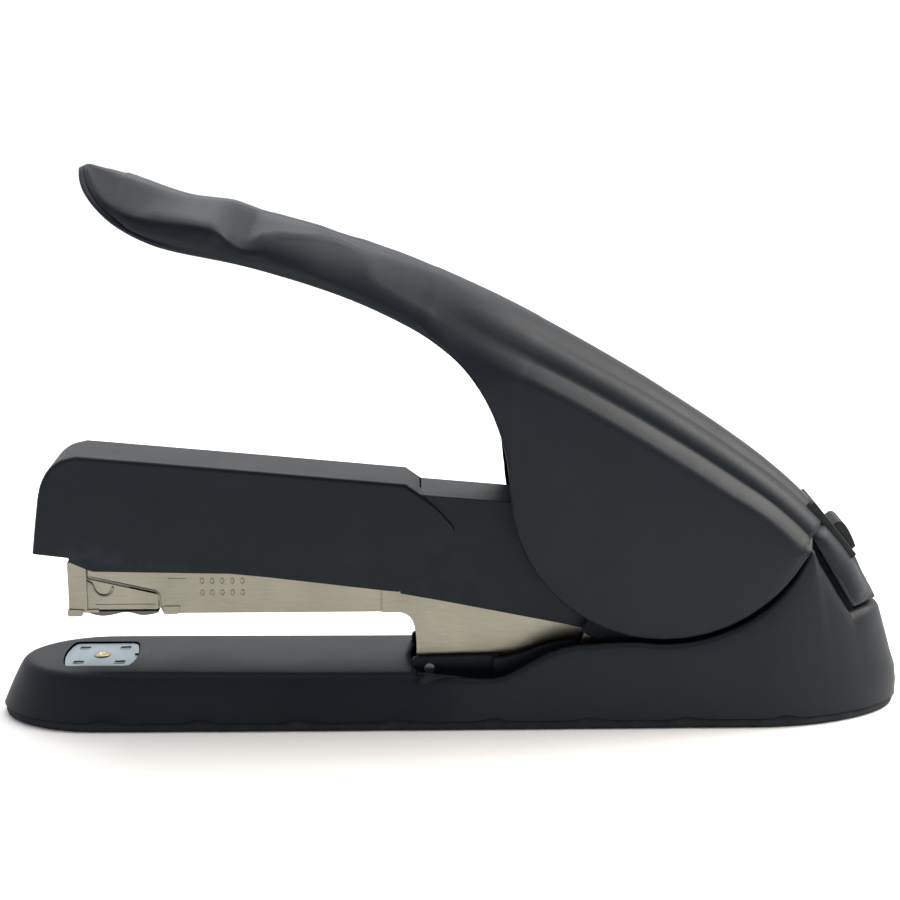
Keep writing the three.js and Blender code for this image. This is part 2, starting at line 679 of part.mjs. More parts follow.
// ---------------------------------------------------------------- assembly
add('base_shell', geometryOf(baseShell()), BLACK_PLASTIC);
add('base_sole', geometryOf(baseSole()), RUBBER);
add('base_frame', geometryOf(baseFrame()), NICKEL);
SCREW_PLACES.forEach(([x, y], i) => {
  add(`base_screw_${i + 1}`, screwGeometry(3, 2.2, 1.4, 8.5).translate(x, y, 0.6), ZINC);
});
add('guide_stud_right', geometryOf(guideStud(-LEDGE_HALF_WIDTH - 0.9, -SLOT_HALF_WIDTH + 0.1)), ZINC);
add('guide_stud_left', geometryOf(guideStud(SLOT_HALF_WIDTH - 0.1, LEDGE_HALF_WIDTH + 0.9)), ZINC);
add('handle_pin', headedPin(HANDLE_PIVOT, PIN_RADIUS, 12.6, 1), ZINC);
add('arm_pin', headedPin(ARM_PIVOT, PIN_RADIUS, 12.6, 1), ZINC);
add('magazine_spring', uprightCoil(31, 0, 5.6, {
  radius: 5, wire: 1, height: 17.6, turns: 6,
}), ZINC);
add('handle_spring', coilGeometry({ radius: 6, wire: 1.4, height: 12, turns: 6 })
  .rotateX(-Math.PI / 2).translate(HANDLE_PIVOT.x, -6, HANDLE_PIVOT.z), ZINC);

add('anvil_plate', geometryOf(anvilPlate()), BRIGHT_STEEL);
add('anvil_post', geometryOf(anvilPost()), BRIGHT_STEEL);
add('anvil_button', geometryOf(anvilButton()), DARK_PLASTIC);
add('anvil_spring', uprightCoil(ANVIL_X, 0, 6, {
  radius: 3.6, wire: 0.7, height: 3.9, turns: 3,
}), ZINC);

add('handle_shell', geometryOf(handleShell()), BLACK_PLASTIC);
add('handle_lever', geometryOf(handleLever()), NICKEL);
LEVER_SCREW_X.forEach((x, i) => add(`lever_screw_${i + 1}`, leverScrew(x), ZINC));
add('lever_roller', geometryOf(cut(crossRod(LEVER_ROLLER, LEVER_ROLLER.radius, -3.6, 3.6, 28),
  crossRod(LEVER_ROLLER, 1.8, -5, 5))), ZINC);
add('roller_pin', headedPin(LEVER_ROLLER, 1.5, 10.1, 0.6), ZINC);
add('button_bezel', geometryOf(buttonBezel()), DARK_PLASTIC);
add('release_button', geometryOf(releaseButton()), DARK_PLASTIC);
add('button_leaf_spring', geometryOf(buttonLeaf()), BLUED_STEEL);

add('head_cover', geometryOf(headCover()), BLACK_PLASTIC);
add('rear_housing', geometryOf(rearHousing()), BLACK_PLASTIC);
add('drive_arm', geometryOf(driveArm()), NICKEL);
add('driver_blade', driverBlade(), BRIGHT_STEEL);

add('magazine_sheath', geometryOf(magazineSheath()), NICKEL);
add('arm_plate_right', geometryOf(armPlate(-1)), NICKEL);
add('arm_plate_left', geometryOf(armPlate(1)), NICKEL);
add('arm_crossbar', geometryOf(armCrossbar()), NICKEL);
add('drive_spring', uprightCoil(-9, 0, 40.2, {
  radius: 3.2, wire: 0.8, height: 14, turns: 6,
}), ZINC);

add('nose_piece', geometryOf(nosePiece()), NICKEL);
add('staple_rail', geometryOf(stapleRail()), NICKEL);
add('nose_leaf_spring', geometryOf(noseSpring()), BLUED_STEEL);
add('staple_follower', geometryOf(stapleFollower()), BLUED_STEEL);
add('follower_spring', coilGeometry({
  radius: 2.6, wire: 0.6, height: 96, turns: 18, stepsPerTurn: 8, sides: 4,
}).rotateY(Math.PI / 2).translate(-76, 0, 32), ZINC);

export default stapler;
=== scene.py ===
import json
import math

import bpy
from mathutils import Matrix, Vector


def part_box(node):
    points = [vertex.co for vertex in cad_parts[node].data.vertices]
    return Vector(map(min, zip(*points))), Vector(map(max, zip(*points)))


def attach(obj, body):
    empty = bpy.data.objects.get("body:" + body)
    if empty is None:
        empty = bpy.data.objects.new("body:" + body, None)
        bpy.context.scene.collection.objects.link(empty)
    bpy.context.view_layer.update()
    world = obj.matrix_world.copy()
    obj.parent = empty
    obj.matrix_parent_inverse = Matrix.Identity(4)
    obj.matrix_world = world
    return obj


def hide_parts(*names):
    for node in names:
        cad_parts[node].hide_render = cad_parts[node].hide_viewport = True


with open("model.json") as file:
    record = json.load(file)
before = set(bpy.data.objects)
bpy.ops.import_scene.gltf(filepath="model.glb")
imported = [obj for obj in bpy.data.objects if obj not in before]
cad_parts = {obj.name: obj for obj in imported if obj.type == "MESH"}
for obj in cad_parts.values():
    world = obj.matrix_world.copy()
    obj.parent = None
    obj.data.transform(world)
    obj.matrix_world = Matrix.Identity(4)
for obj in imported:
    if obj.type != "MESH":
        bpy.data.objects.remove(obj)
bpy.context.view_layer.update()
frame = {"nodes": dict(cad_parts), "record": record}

# Lengths below are in millimetres, in the frame of the CAD model; MM turns them into metres.
MM = 0.001


def box_mm(node):
    """Lowest and highest corner of a CAD node at rest, in millimetres."""
    return [[round(value / MM, 3) for value in corner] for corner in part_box(node)]


def middle(node):
    """Middle of a CAD node's box, in millimetres."""
    low, high = box_mm(node)
    return [(a + b) / 2 for a, b in zip(low, high)]


HANDLE_PIVOT = (middle("handle_pin")[0], middle("handle_pin")[2])
CHEEK_RADIUS = 38.0
BASE_HALF_WIDTH = 19.2
BASE_FRONT_HALF_WIDTH = 18.6
PAD_TOP = 13.7
PAD_FRONT_RISE = 0.6
PAD_REAR = -10.0
ANVIL_X = middle("anvil_plate")[0]
HEAD_SLOPE = -0.0866


# ---- curves and tables
def catmull(points, per_span):
    """A smooth line through the points, with per_span pieces between neighbours."""
    out = []
    last = len(points) - 1
    for i in range(last):
        p0 = Vector(points[max(i - 1, 0)])
        p1 = Vector(points[i])
        p2 = Vector(points[i + 1])
        p3 = Vector(points[min(i + 2, last)])
        for k in range(per_span):
            t = k / per_span
            out.append(0.5 * (2 * p1 + (p2 - p0) * t + (2 * p0 - 5 * p1 + 4 * p2 - p3) * t * t
                              + (3 * p1 - 3 * p2 + p3 - p0) * t ** 3))
    out.append(Vector(points[-1]))
    return out


def arc(centre, radius, start, end, pieces):
    """Points of a circle's arc; angles in degrees."""
    angles = [math.radians(start + (end - start) * i / pieces) for i in range(pieces + 1)]
    return [Vector((centre[0] + radius * math.cos(a), centre[1] + radius * math.sin(a)))
            for a in angles]


def resample(line, count, power=1.0):
    """The line as count + 1 points at equal distances, or closer at its start for a power above 1."""
    lengths = [0.0]
    for a, b in zip(line, line[1:]):
        lengths.append(lengths[-1] + (b - a).length)
    out = []
    j = 0
    for i in range(count + 1):
        want = lengths[-1] * (i / count) ** power
        while j < len(line) - 2 and lengths[j + 1] < want:
            j += 1
        span = max(lengths[j + 1] - lengths[j], 1e-9)
        out.append(line[j].lerp(line[j + 1], min(1.0, max(0.0, (want - lengths[j]) / span))))
    return out


def table_at(table, x):
    """Values of a table [(x, values), ...] at x, on a smooth line through its rows."""
    xs = [row[0] for row in table]
    if x <= xs[0]:
        return list(table[0][1])
    if x >= xs[-1]:
        return list(table[-1][1])
    i = max(k for k in range(len(xs) - 1) if xs[k] <= x)
    h = xs[i + 1] - xs[i]
    t = (x - xs[i]) / h
    out = []
    for k in range(len(table[i][1])):
        value = [row[1][k] for row in table]
        slope = []
        for m in (i, i + 1):
            left = (value[m] - value[m - 1]) / (xs[m] - xs[m - 1]) if m > 0 else None
            right = (value[m + 1] - value[m]) / (xs[m + 1] - xs[m]) if m < len(xs) - 1 else None
            if left is None or right is None or left * right <= 0:
                slope.append(0.0)
            else:
                slope.append(2 * left * right / (left + right))
        out.append(value[i] * (1 + 2 * t) * (1 - t) ** 2 + slope[0] * h * t * (1 - t) ** 2
                   + value[i + 1] * t * t * (3 - 2 * t) + slope[1] * h * t * t * (t - 1))
    return out


def number_at(pairs, x):
    """The number at x of a table [(x, number), ...]."""
    return table_at([(a, [b]) for a, b in pairs], x)[0]


def smooth_step(low, high, x):
    """0 up to low, 1 from high on, with a smooth rise between them."""
    t = min(1.0, max(0.0, (x - low) / (high - low)))
    return t * t * (3 - 2 * t)


# ---- meshes
def make_mesh(name, verts, faces):
    """A mesh from points in millimetres."""
    mesh = bpy.data.meshes.new(name)
    mesh.from_pydata([(x * MM, y * MM, z * MM) for x, y, z in verts], [], faces)
    return mesh


def add_object(name, data):
    """A new object in the scene, holding a mesh, a lamp or the camera."""
    item = bpy.data.objects.new(name, data)
    bpy.context.scene.collection.objects.link(item)
    return item


def make_piece(name, part, body, slot, replaced=(), material=None):
    """A visible piece that rides on a body and may stand for CAD nodes; its slot names its finish."""
    mesh = make_mesh(name, *part)
    mesh.validate()
    mesh.update()
    piece = add_object(name, mesh)
    mesh.materials.append(material or FINISH[slot])
    mesh.polygons.foreach_set("use_smooth", [True] * len(mesh.polygons))
    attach(piece, body)
    if replaced:
        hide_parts(*replaced)
    return piece


def grid_faces(rows, columns, closed=False):
    """Faces of a grid of points numbered row by row; a closed grid joins its last column to its first."""
    faces = []
    for i in range(rows - 1):
        for j in range(columns if closed else columns - 1):
            a = i * columns + j
            b = i * columns + (j + 1) % columns
            faces.append((a, b, b + columns, a + columns))
    return faces


def weld(piece):
    """Merges points that lie on each other, such as those on the middle plane."""
    modifier = piece.modifiers.new("weld", "WELD")
    modifier.merge_threshold = 0.01 * MM


def even_normals(piece):
    """Lets large faces set the shading, so that they look flat beside their fillets."""
    modifier = piece.modifiers.new("normals", "WEIGHTED_NORMAL")
    modifier.weight = 60


def soften(piece, width, segments, angle=35):
    """Small fillets along the edges that are sharper than the angle, and even shading."""
    modifier = piece.modifiers.new("bevel", "BEVEL")
    modifier.width = width * MM
    modifier.segments = segments
    modifier.limit_method = "ANGLE"
    modifier.angle_limit = math.radians(angle)
    even_normals(piece)


def thicken(piece, thickness):
    """Turns a skin into a wall that grows inward, and gives back the modifier."""
    modifier = piece.modifiers.new("thickness", "SOLIDIFY")
    modifier.thickness = thickness * MM
    modifier.offset = -1
    modifier.thickness_clamp = 1.0
    return modifier


def prism_faces(outline, skip=()):
    """Two caps and the strips between an outline's points and their copies, less the skipped strips."""
    n = len(outline)
    area = sum(a[0] * b[1] - b[0] * a[1] for a, b in zip(outline, list(outline[1:]) + [outline[0]]))
    turn = list(range(n)) if area > 0 else list(range(n - 1, -1, -1))
    faces = [tuple(turn), tuple(n + i for i in reversed(turn))]
    for a, b in zip(turn, turn[1:] + turn[:1]):
        if (min(a, b), max(a, b)) not in skip:
            faces.append((b, a, n + a, n + b))
    return faces


def plate(outline, low, high):
    """A plate between y = low and y = high, its outline given in X and Z."""
    verts = [(x, low, z) for x, z in outline] + [(x, high, z) for x, z in outline]
    return verts, prism_faces(outline)


def flat(outline, low, high):
    """A plate between z = low and z = high, its outline given in X and Y."""
    verts = [(x, y, low) for x, y in outline] + [(x, y, high) for x, y in outline]
    return verts, [tuple(reversed(face)) for face in prism_faces(outline)]


def join(*parts):
    """Several parts as one."""
    verts, faces = [], []
    for part_verts, part_faces in parts:
        start = len(verts)
        verts += part_verts
        faces += [tuple(start + i for i in face) for face in part_faces]
    return verts, faces


def mirrored(part):
    """The part's mirror image across the middle plane."""
    verts, faces = part
    return [(x, -y, z) for x, y, z in verts], [tuple(reversed(face)) for face in faces]


def both_sides(*parts):
    """The parts and their mirror images."""
    return join(*parts, *[mirrored(part) for part in parts])


def rectangle(x0, y0, x1, y1):
    """Corners of a rectangle."""
    return [(x0, y0), (x1, y0), (x1, y1), (x0, y1)]


def whole_skin(rows):
    """A skin from rows of points on the +Y side, with its mirror image."""
    faces = [tuple(reversed(face)) for face in grid_faces(len(rows), len(rows[0]))]
    return both_sides(([point for row in rows for point in row], faces))


def lathe(profile, x, sides=40):
    """A part turned about the upright axis at x on the middle plane, from (radius, height) pairs."""
    verts = []
    for radius, height in profile:
        for k in range(sides):
            angle = 2 * math.pi * k / sides
            verts.append((x + radius * math.cos(angle), radius * math.sin(angle), height))
    faces = grid_faces(len(profile), sides, closed=True)
    first = tuple(reversed(range(sides)))
    last = tuple(range((len(profile) - 1) * sides, len(profile) * sides))
    return verts, faces + [first, last]


def ridge(path, radius, sides=8):
    """A round bead along a path of (x, y, z) points."""
    verts = []
    for i, p in enumerate(path):
        p = Vector(p)
        ahead = Vector(path[min(i + 1, len(path) - 1)]) - Vector(path[max(i - 1, 0)])
        ahead.normalize()
        side = Vector((0, 1, 0))
        up = ahead.cross(side).normalized()
        share = 0.55 if i in (0, len(path) - 1) else 1.0
        for k in range(sides):
            a = 2 * math.pi * k / sides
            verts.append(tuple(p + radius * share * (math.cos(a) * side + math.sin(a) * up)))
    faces = grid_faces(len(path), sides, closed=True)
    n = len(path)
    return verts, faces + [tuple(reversed(range(sides))), tuple(range((n - 1) * sides, n * sides))]


def carve(piece, cutter_part):
    """Cuts the cutter's shape out of the piece and keeps the result as the piece's mesh."""
    cutter = add_object("cutter", make_mesh("cutter", *cutter_part))
    modifier = piece.modifiers.new("cut", "BOOLEAN")
    modifier.object = cutter
    modifier.operation = "DIFFERENCE"
    modifier.solver = "EXACT"
    bpy.context.view_layer.update()
    result = bpy.data.meshes.new_from_object(piece.evaluated_get(bpy.context.evaluated_depsgraph_get()))
    piece.modifiers.clear()
    piece.data = result
    bpy.data.objects.remove(cutter)


# ---- materials
class Nodes:
    """Short names for building a material's nodes."""

    def __init__(self, name):
        self.material = bpy.data.materials.new(name)
        self.material.use_nodes = True
        self.tree = self.material.node_tree
        self.shader = self.tree.nodes["Principled BSDF"]
        self.place = self.add("ShaderNodeTexCoord").outputs["Object"]

    def feed(self, socket, value):
        """Links another node's output to a socket, or sets the socket to a plain value."""
        if isinstance(value, bpy.types.NodeSocket):
            self.tree.links.new(value, socket)
        else:
            socket.default_value = value

    def put(self, key, value):
        """Feeds a socket of the material's shader."""
        self.feed(self.shader.inputs[key], value)

    def add(self, kind, **inputs):
        """A new node with some of its sockets fed by name."""
        node = self.tree.nodes.new(kind)
        for key, value in inputs.items():
            self.feed(node.inputs[key], value)
        return node

    def noise(self, scale, detail=3.0, roughness=0.55, stretch=(1, 1, 1)):
        """Cloudy noise in the piece's own coordinates, about 0.3 to 0.7."""
        mapping = self.add("ShaderNodeMapping", Vector=self.place, Scale=stretch)
        node = self.add("ShaderNodeTexNoise", Vector=mapping.outputs[0], Scale=scale, Detail=detail,
                        Roughness=roughness)
        return node.outputs["Fac"]

    def grain(self, scale):
        """The even pitting of an eroded mould or of rubber."""
        node = self.add("ShaderNodeTexVoronoi", Vector=self.place, Scale=scale)
        node.feature = "SMOOTH_F1"
        return node.outputs["Distance"]

    def remap(self, value, low, high, to_low, to_high):
        """The value with low..high stretched to to_low..to_high."""
        node = self.add("ShaderNodeMapRange")
        for index, number in enumerate((value, low, high, to_low, to_high)):
            self.feed(node.inputs[index], number)
        return node.outputs[0]

    def mix(self, share, colour_a, colour_b):
        """Colour a where the share is 0, and colour b where it is 1."""
        node = self.add("ShaderNodeMix")
        node.data_type = "RGBA"
        for index, value in ((0, share), (6, colour_a), (7, colour_b)):
            self.feed(node.inputs[index], value)
        return node.outputs[2]

    def math(self, operation, a, b):
        """Arithmetic on two values."""
        node = self.add("ShaderNodeMath")
        node.operation = operation
        self.feed(node.inputs[0], a)
        self.feed(node.inputs[1], b)
        return node.outputs[0]

    def worn_edges(self, low, high):
        """0 on faces and 1 on sharp outer edges."""
        node = self.add("ShaderNodeNewGeometry")
        return self.remap(node.outputs["Pointiness"], low, high, 0.0, 1.0)

    def bump(self, height, strength, distance, after=None):
        """A surface direction bent by a height, on top of an earlier bump if there is one."""
        node = self.add("ShaderNodeBump", Height=height, Strength=strength, Distance=distance)
        if after is not None:
            self.feed(node.inputs["Normal"], after)
        return node.outputs[0]


def shade(colour, factor, lift=0.0):
    """The colour made darker or lighter."""
    return tuple(factor * c + lift for c in colour[:3]) + (1.0,)


def grey(value, blue=1.0):
    """A grey, bluish for a blue above 1."""
    return (value, value * (1 + 0.5 * (blue - 1)), value * blue, 1.0)


def moulded_plastic(name, colour, roughness, grain=1.0):
    """Moulded plastic with a fine spark-eroded grain, faint cloudiness and handled edges."""
    n = Nodes(name)
    clouds = n.noise(35, 3)
    specks = n.noise(2600, 2)
    tint = n.remap(clouds, 0.35, 0.65, 0.0, 1.0)
    base = n.mix(tint, shade(colour, 0.93), shade(colour, 1.08))
    edge = n.math("MULTIPLY", n.worn_edges(0.52, 0.62), n.remap(n.noise(240, 4), 0.4, 0.7, 0.15, 0.7))
    n.put("Base Color", n.mix(edge, base, shade(colour, 1.9, 0.01)))
    patches = n.remap(n.noise(90, 5), 0.3, 0.7, roughness - 0.025, roughness + 0.03)
    fine = n.remap(specks, 0.3, 0.7, -0.03, 0.03)
    n.put("Roughness", n.math("ADD", patches, fine))
    pits = n.bump(n.grain(1500), 0.16 * grain, 0.00012)
    n.put("Normal", n.bump(specks, 0.12 * grain, 0.0001, after=pits))
    n.shader.inputs["IOR"].default_value = 1.5
    n.shader.inputs["Specular IOR Level"].default_value = 0.21
    return n.material


def rolled_metal(name, colour, roughness, brush=(1, 30, 30), strength=0.06, scuff=0.5):
    """Sheet metal: fine rolling lines, soft clouds in the plating and a few dull scuffs."""
    n = Nodes(name)
    lines = n.noise(260, 4, 0.6, brush)
    clouds = n.noise(60, 4)
    base = n.mix(n.remap(lines, 0.3, 0.7, 0.0, 1.0), shade(colour, 0.82), shade(colour, 1.08))
    spots = n.remap(n.noise(420, 5, 0.7), 0.62, 0.78, 0.0, scuff)
    n.put("Base Color", n.mix(spots, base, shade(colour, 0.62)))
    n.shader.inputs["Metallic"].default_value = 1.0
    patches = n.remap(clouds, 0.3, 0.7, roughness - 0.06, roughness + 0.08)
    n.put("Roughness", n.math("ADD", patches, n.remap(lines, 0.3, 0.7, -0.05, 0.05)))
    n.put("Normal", n.bump(lines, strength, 0.0001))
    return n.material


def soft_rubber(name, colour):
    """Matt rubber with a coarse even grain and dust in its hollows."""
    n = Nodes(name)
    dust = n.remap(n.noise(160, 5, 0.65), 0.45, 0.75, 0.0, 0.35)
    n.put("Base Color", n.mix(dust, colour, grey(0.04, 1.3)))
    n.put("Roughness", n.remap(n.noise(300, 3), 0.3, 0.7, 0.78, 0.95))
    n.put("Normal", n.bump(n.grain(1100), 0.3, 0.0002))
    n.shader.inputs["Specular IOR Level"].default_value = 0.3
    return n.material


def coated_floor():
    """Matt white studio floor."""
    n = Nodes("pale_floor")
    n.put("Base Color", n.mix(n.noise(6, 2), grey(0.93), grey(0.97)))
    n.shader.inputs["Roughness"].default_value = 0.9
    n.shader.inputs["Specular IOR Level"].default_value = 0.1
    return n.material


BLACK = moulded_plastic("black_plastic", (0.0066, 0.0104, 0.0158, 1), 0.50)
DARK = moulded_plastic("dark_plastic", (0.0130, 0.0150, 0.0170, 1), 0.50, 1.3)
# A plastic darker than the black plastic: painted shade for the shadowed gap round the cheeks inside the
# horns.
GAP_SHADE = moulded_plastic("painted_shade_plastic", (0.0040, 0.0054, 0.0075, 1), 0.75)
RUBBER = soft_rubber("sole_rubber", (0.0150, 0.0190, 0.0240, 1))
NICKEL = rolled_metal("nickel_steel", (0.275, 0.262, 0.212, 1), 0.34)
BRIGHT = rolled_metal("bright_steel", (0.235, 0.28, 0.305, 1), 0.38, (30, 1, 1), 0.04, 0.25)
BLUED = rolled_metal("blued_steel", (0.12, 0.115, 0.13, 1), 0.36)
ZINC = rolled_metal("zinc_steel", (0.62, 0.63, 0.64, 1), 0.38, (1, 1, 12), 0.08)
BRONZE = rolled_metal("rivet_bronze", (0.34, 0.27, 0.17, 1), 0.36)
FINISH = {
    "black_plastic": BLACK, "dark_plastic": DARK, "sole_rubber": RUBBER, "nickel_steel": NICKEL,
    "bright_steel": BRIGHT, "blued_steel": BLUED, "zinc_steel": ZINC,
}


def finish_cad_nodes():
    """Gives every CAD node that stays its slot's material and softened edges."""
    for row in frame["record"]["subparts"]:
        node = frame["nodes"][row["node"]]
        node.data.materials.clear()
        node.data.materials.append(FINISH[row["material_slot"]])
        soften(node, 0.12, 2, 40)


# ---- handle
CROWN = catmull([
    (-86.9, 137.75), (-86, 137.8), (-84.5, 137.4), (-80, 135.9), (-76, 134.4), (-72.5, 133.0), (-67, 130.9),
    (-62, 129.5), (-57, 128.9), (-52.5, 128.4), (-48.5, 127.2), (-44, 125.6), (-40, 124.6), (-26, 120.2),
    (-11, 114.6), (2, 109.0), (15, 102.8), (30, 94.65), (45, 85.9), (57, 78.3), (68, 70.9), (78, 63.5),
    (87, 55.7), (95, 47.4), (101.2, 40.0), (103.3, 36.6), (104.4, 34.7), (105.9, 32.6), (107.1, 30.7),
    (107.75, 29.3),
], 10)
BELLY = catmull([
    (-88.8, 137.0), (-88.4, 135.0), (-87.4, 132.8), (-85.9, 130.7), (-83.2, 127.9), (-79, 124.8),
    (-72, 121.2), (-65, 118.9), (-47, 115.0), (-26, 108.3), (-10, 100.9), (-1, 94.8), (4.5, 89.2),
    (9.5, 81.0), (13.2, 70.5), (14.5, 61),
], 8)
APEX = (88.9, 47.5)             # top of the seam between the cheek and the tail
LOW_TIP = (100.3, 28.9)         # lowest corner of the tail
TAIL_END = (107.75, 29.1)
GRIP_HALF_WIDTH = 15.0
CHEEK_HALF_WIDTH = 17.0
TIP_START = -70.0
TIP_LENGTH = 18.8
TAIL_START = 84.0
TAIL_LENGTH = 23.8


def rounded_end(distance, length, half_width, power):
    """Half width at a distance into an end that is rounded in plan."""
    t = min(1.0, distance / length)
    return half_width * max(0.0, 1 - t ** power) ** (1 / power)


def handle_half_width(x):
    """Half the width of the handle in plan."""
    if x < TIP_START:
        return rounded_end(TIP_START - x, TIP_LENGTH, GRIP_HALF_WIDTH, 2.2)
    if x > TAIL_START:
        return rounded_end(x - TAIL_START, TAIL_LENGTH, CHEEK_HALF_WIDTH, 2.3)
    return number_at([(TIP_START, GRIP_HALF_WIDTH), (-40, 15.05), (-15, 15.5), (15, CHEEK_HALF_WIDTH),
                      (TAIL_START, CHEEK_HALF_WIDTH)], x)


def flat_values(*rows):
    """The numbers of several rows in one list."""
    return [value for row in rows for value in row]


def grip_section(ridge_y, crease_y, crease_depth, mid, low):
    """Section of the grip: a flat, a sloping facet down to a crease, and the side below it."""
    rows = [(0.5 * ridge_y, 0.0), (0.85 * ridge_y, 0.03), (ridge_y + 0.4, 0.2)]
    for k in range(1, 6):
        t = k / 6
        rows.append((ridge_y + 0.4 + (crease_y - ridge_y - 0.4) * t, 0.2 + (crease_depth - 0.2) * t))
    rows.append((crease_y - 0.25, crease_depth - 0.12))
    rows.append((crease_y + 0.15, crease_depth + 0.35))
    return flat_values(*rows, mid, low)


def grip_row(x, ridge_y, crease_y, depth):
    """A grip section whose crease is at the side wall."""
    width = handle_half_width(x)
    mid = (width - 0.02, max(depth + 1.2, 0.9))
    low = (width, max(depth + 2.0, 1.6))
    return x, grip_section(ridge_y, crease_y, depth, mid, low)


def section(x, widths, depths):
    """A section at the crown's x, from the half width and the depth of its twelve columns."""
    return x, flat_values(*zip(widths, depths))


TAIL_DEPTHS = (0.08, 0.3, 0.7, 0.9, 1.7, 2.7, 3.9, 4.9, 5.7, 6.6, 8.4, 9.7)
SECTIONS = [
    grip_row(-74, 3.0, 14.3, 6.9),
    grip_row(-70, 3.7, 14.8, 6.2),
    grip_row(-66, 3.9, 15.0, 5.3),
    grip_row(-60.5, 3.5, 15.0, 4.6),
    grip_row(-56.5, 2.8, 15.0, 4.8),
    grip_row(-53.3, 2.4, 15.0, 5.9),
    grip_row(-49.5, 2.0, 15.0, 7.3),
    grip_row(-46.4, 1.8, 15.0, 7.8),
    grip_row(-44.2, 1.7, 14.9, 7.2),
    (-42.8, grip_section(1.7, 13.9, 5.6, (14.7, 7.0), (15.05, 8.0))),
    (-40, grip_section(1.7, 12.4, 4.2, (14.3, 6.6), (15.05, 8.2))),
    (-37, grip_section(1.7, 11.4, 3.4, (14.0, 6.2), (15.05, 8.2))),
    (-33, grip_section(1.7, 9.9, 2.6, (13.5, 5.8), (15.1, 8.3))),
    (-26, grip_section(1.7, 7.2, 1.5, (12.4, 5.2), (15.2, 8.7))),
    section(-15, (1.8, 2.9, 3.8, 4.8, 5.9, 7.1, 8.4, 9.7, 11, 12.3, 13.7, 15.4),
            (0.04, 0.2, 0.5, 0.95, 1.5, 2.2, 3, 3.9, 4.9, 6.1, 7.5, 9.4)),
    section(0, (2.2, 4, 5.3, 6.4, 7.6, 8.8, 10, 11.1, 12.3, 13.4, 14.8, 16.1),
            (0.1, 0.4, 0.9, 1.6, 2.5, 3.5, 4.6, 5.8, 7.2, 8.6, 10.4, 12.2)),
    section(12, (2.6, 4.8, 6.6, 7.8, 9.3, 10.5, 11.5, 12.3, 13.1, 14.4, 15.9, 16.9),
            (0.15, 0.6, 1.4, 2.15, 3.2, 4.3, 5.6, 7, 8.3, 9.8, 11.7, 14.2)),
    section(30, (2.9, 5, 7, 7.7, 9, 10.2, 11.2, 11.8, 12.1, 13.2, 16.2, 17),
            (0.2, 0.75, 2, 2.5, 3.2, 4.1, 5.2, 6.5, 7.7, 8.7, 11, 12.6)),
    section(50, (3, 5, 6.7, 7.4, 8.9, 10.2, 11.3, 11.85, 12.1, 13.2, 16.3, 17),
            (0.2, 0.7, 1.6, 2.05, 2.8, 3.75, 5, 6.2, 7.3, 8.2, 10.5, 12.1)),
    section(72, (2.9, 4.8, 6.2, 6.8, 8.8, 10.3, 11.5, 12, 12.25, 13.4, 16.4, 17),
            (0.15, 0.6, 1.3, 1.6, 2.4, 3.4, 4.7, 5.8, 6.7, 7.6, 9.8, 11.3)),
    section(84, (2.8, 4.6, 5.8, 6.3, 8.7, 10.4, 11.7, 12.2, 12.5, 13.8, 16.2, 16.9),
            (0.1, 0.35, 0.8, 1, 1.9, 2.9, 4.1, 5.1, 5.9, 6.8, 8.6, 9.9)),
    section(93, (2.8, 4.6, 5.8, 6.3, 8.7, 10.4, 11.7, 12.2, 12.5, 13.8, 16.2, 16.9), TAIL_DEPTHS),
    section(100, (2.4, 4, 5, 5.5, 7.6, 9.2, 10.4, 10.9, 11.2, 12.3, 14.1, 14.6), TAIL_DEPTHS),
    section(105.8, (2.1, 3.4, 4.3, 4.8, 6.6, 8, 9.1, 9.6, 9.9, 10.8, 12.3, 12.7), TAIL_DEPTHS),
    section(107.7, (0.6, 1.1, 1.5, 1.9, 2.6, 3.2, 3.7, 4.1, 4.5, 5, 5.4, 5.8),
            (0.02, 0.05, 0.08, 0.1, 0.15, 0.2, 0.25, 0.3, 0.35, 0.4, 0.45, 0.5)),
]
CREASE_COLUMN = 8


def nearest(line, x):
    """Index of the line's point closest to x."""
    return min(range(len(line)), key=lambda i: abs(line[i].x - x))


def handle_stations():
    """Pairs of a crown point and the rim point that its section runs down to."""
    cheek = arc(HANDLE_PIVOT, CHEEK_RADIUS, 180, 332.9, 60)
    seam = [Vector(APEX), Vector(LOW_TIP)]
    end = [Vector(LOW_TIP), Vector(TAIL_END)]
    tip_bottom, grip_bottom, neck = nearest(BELLY, -79), nearest(BELLY, -47), nearest(BELLY, -8)
    spans = [
        (CROWN[0].x, -78, BELLY[:tip_bottom + 1], 34, 1.7),
        (-78, -46, BELLY[tip_bottom:grip_bottom + 1], 44, 1),
        (-46, -4, BELLY[grip_bottom:neck + 1], 36, 1),
        (-4, 22, BELLY[neck:], 22, 1),
        (22, 92.7, cheek, 68, 1),
        (92.7, 105.8, seam, 18, 1),
        (105.8, CROWN[-1].x, end, 12, 1),
    ]
    pairs = []
    for start, stop, rim, count, power in spans:
        top = CROWN[nearest(CROWN, start):nearest(CROWN, stop) + 1]
        upper, lower = resample(top, count, power), resample(rim, count, power)
        first = 0 if not pairs or rim is seam else 1
        pairs += list(zip(upper, lower))[first:]
    return pairs


# Lip of the rim: distance above it, push outward at the tip, push outward elsewhere.
RIM_SHAPE = [(1.5, -0.5, 0.0), (1.05, -0.46, 0.02), (0.8, -0.12, 0.0), (0.4, 0.0, -0.12),
             (0.12, -0.05, -0.4), (0.0, -0.3, -0.8)]
# Crease round the tip, by the crown's x.
TIP_CREASE = [
    (-86.9, (-86.9, 0.0, 137.75)), (-86.4, (-86.3, 2.0, 136.7)), (-85.6, (-85.5, 4.4, 134.9)),
    (-84, (-84.0, 7.3, 132.5)), (-82, (-82.3, 9.7, 130.6)), (-80, (-80.6, 11.5, 129.2)),
    (-77, (-78.0, 13.2, 127.8)), (-74, (-75.4, 14.3, 126.9)), (-70, (-71.7, 14.8, 125.9)),
]


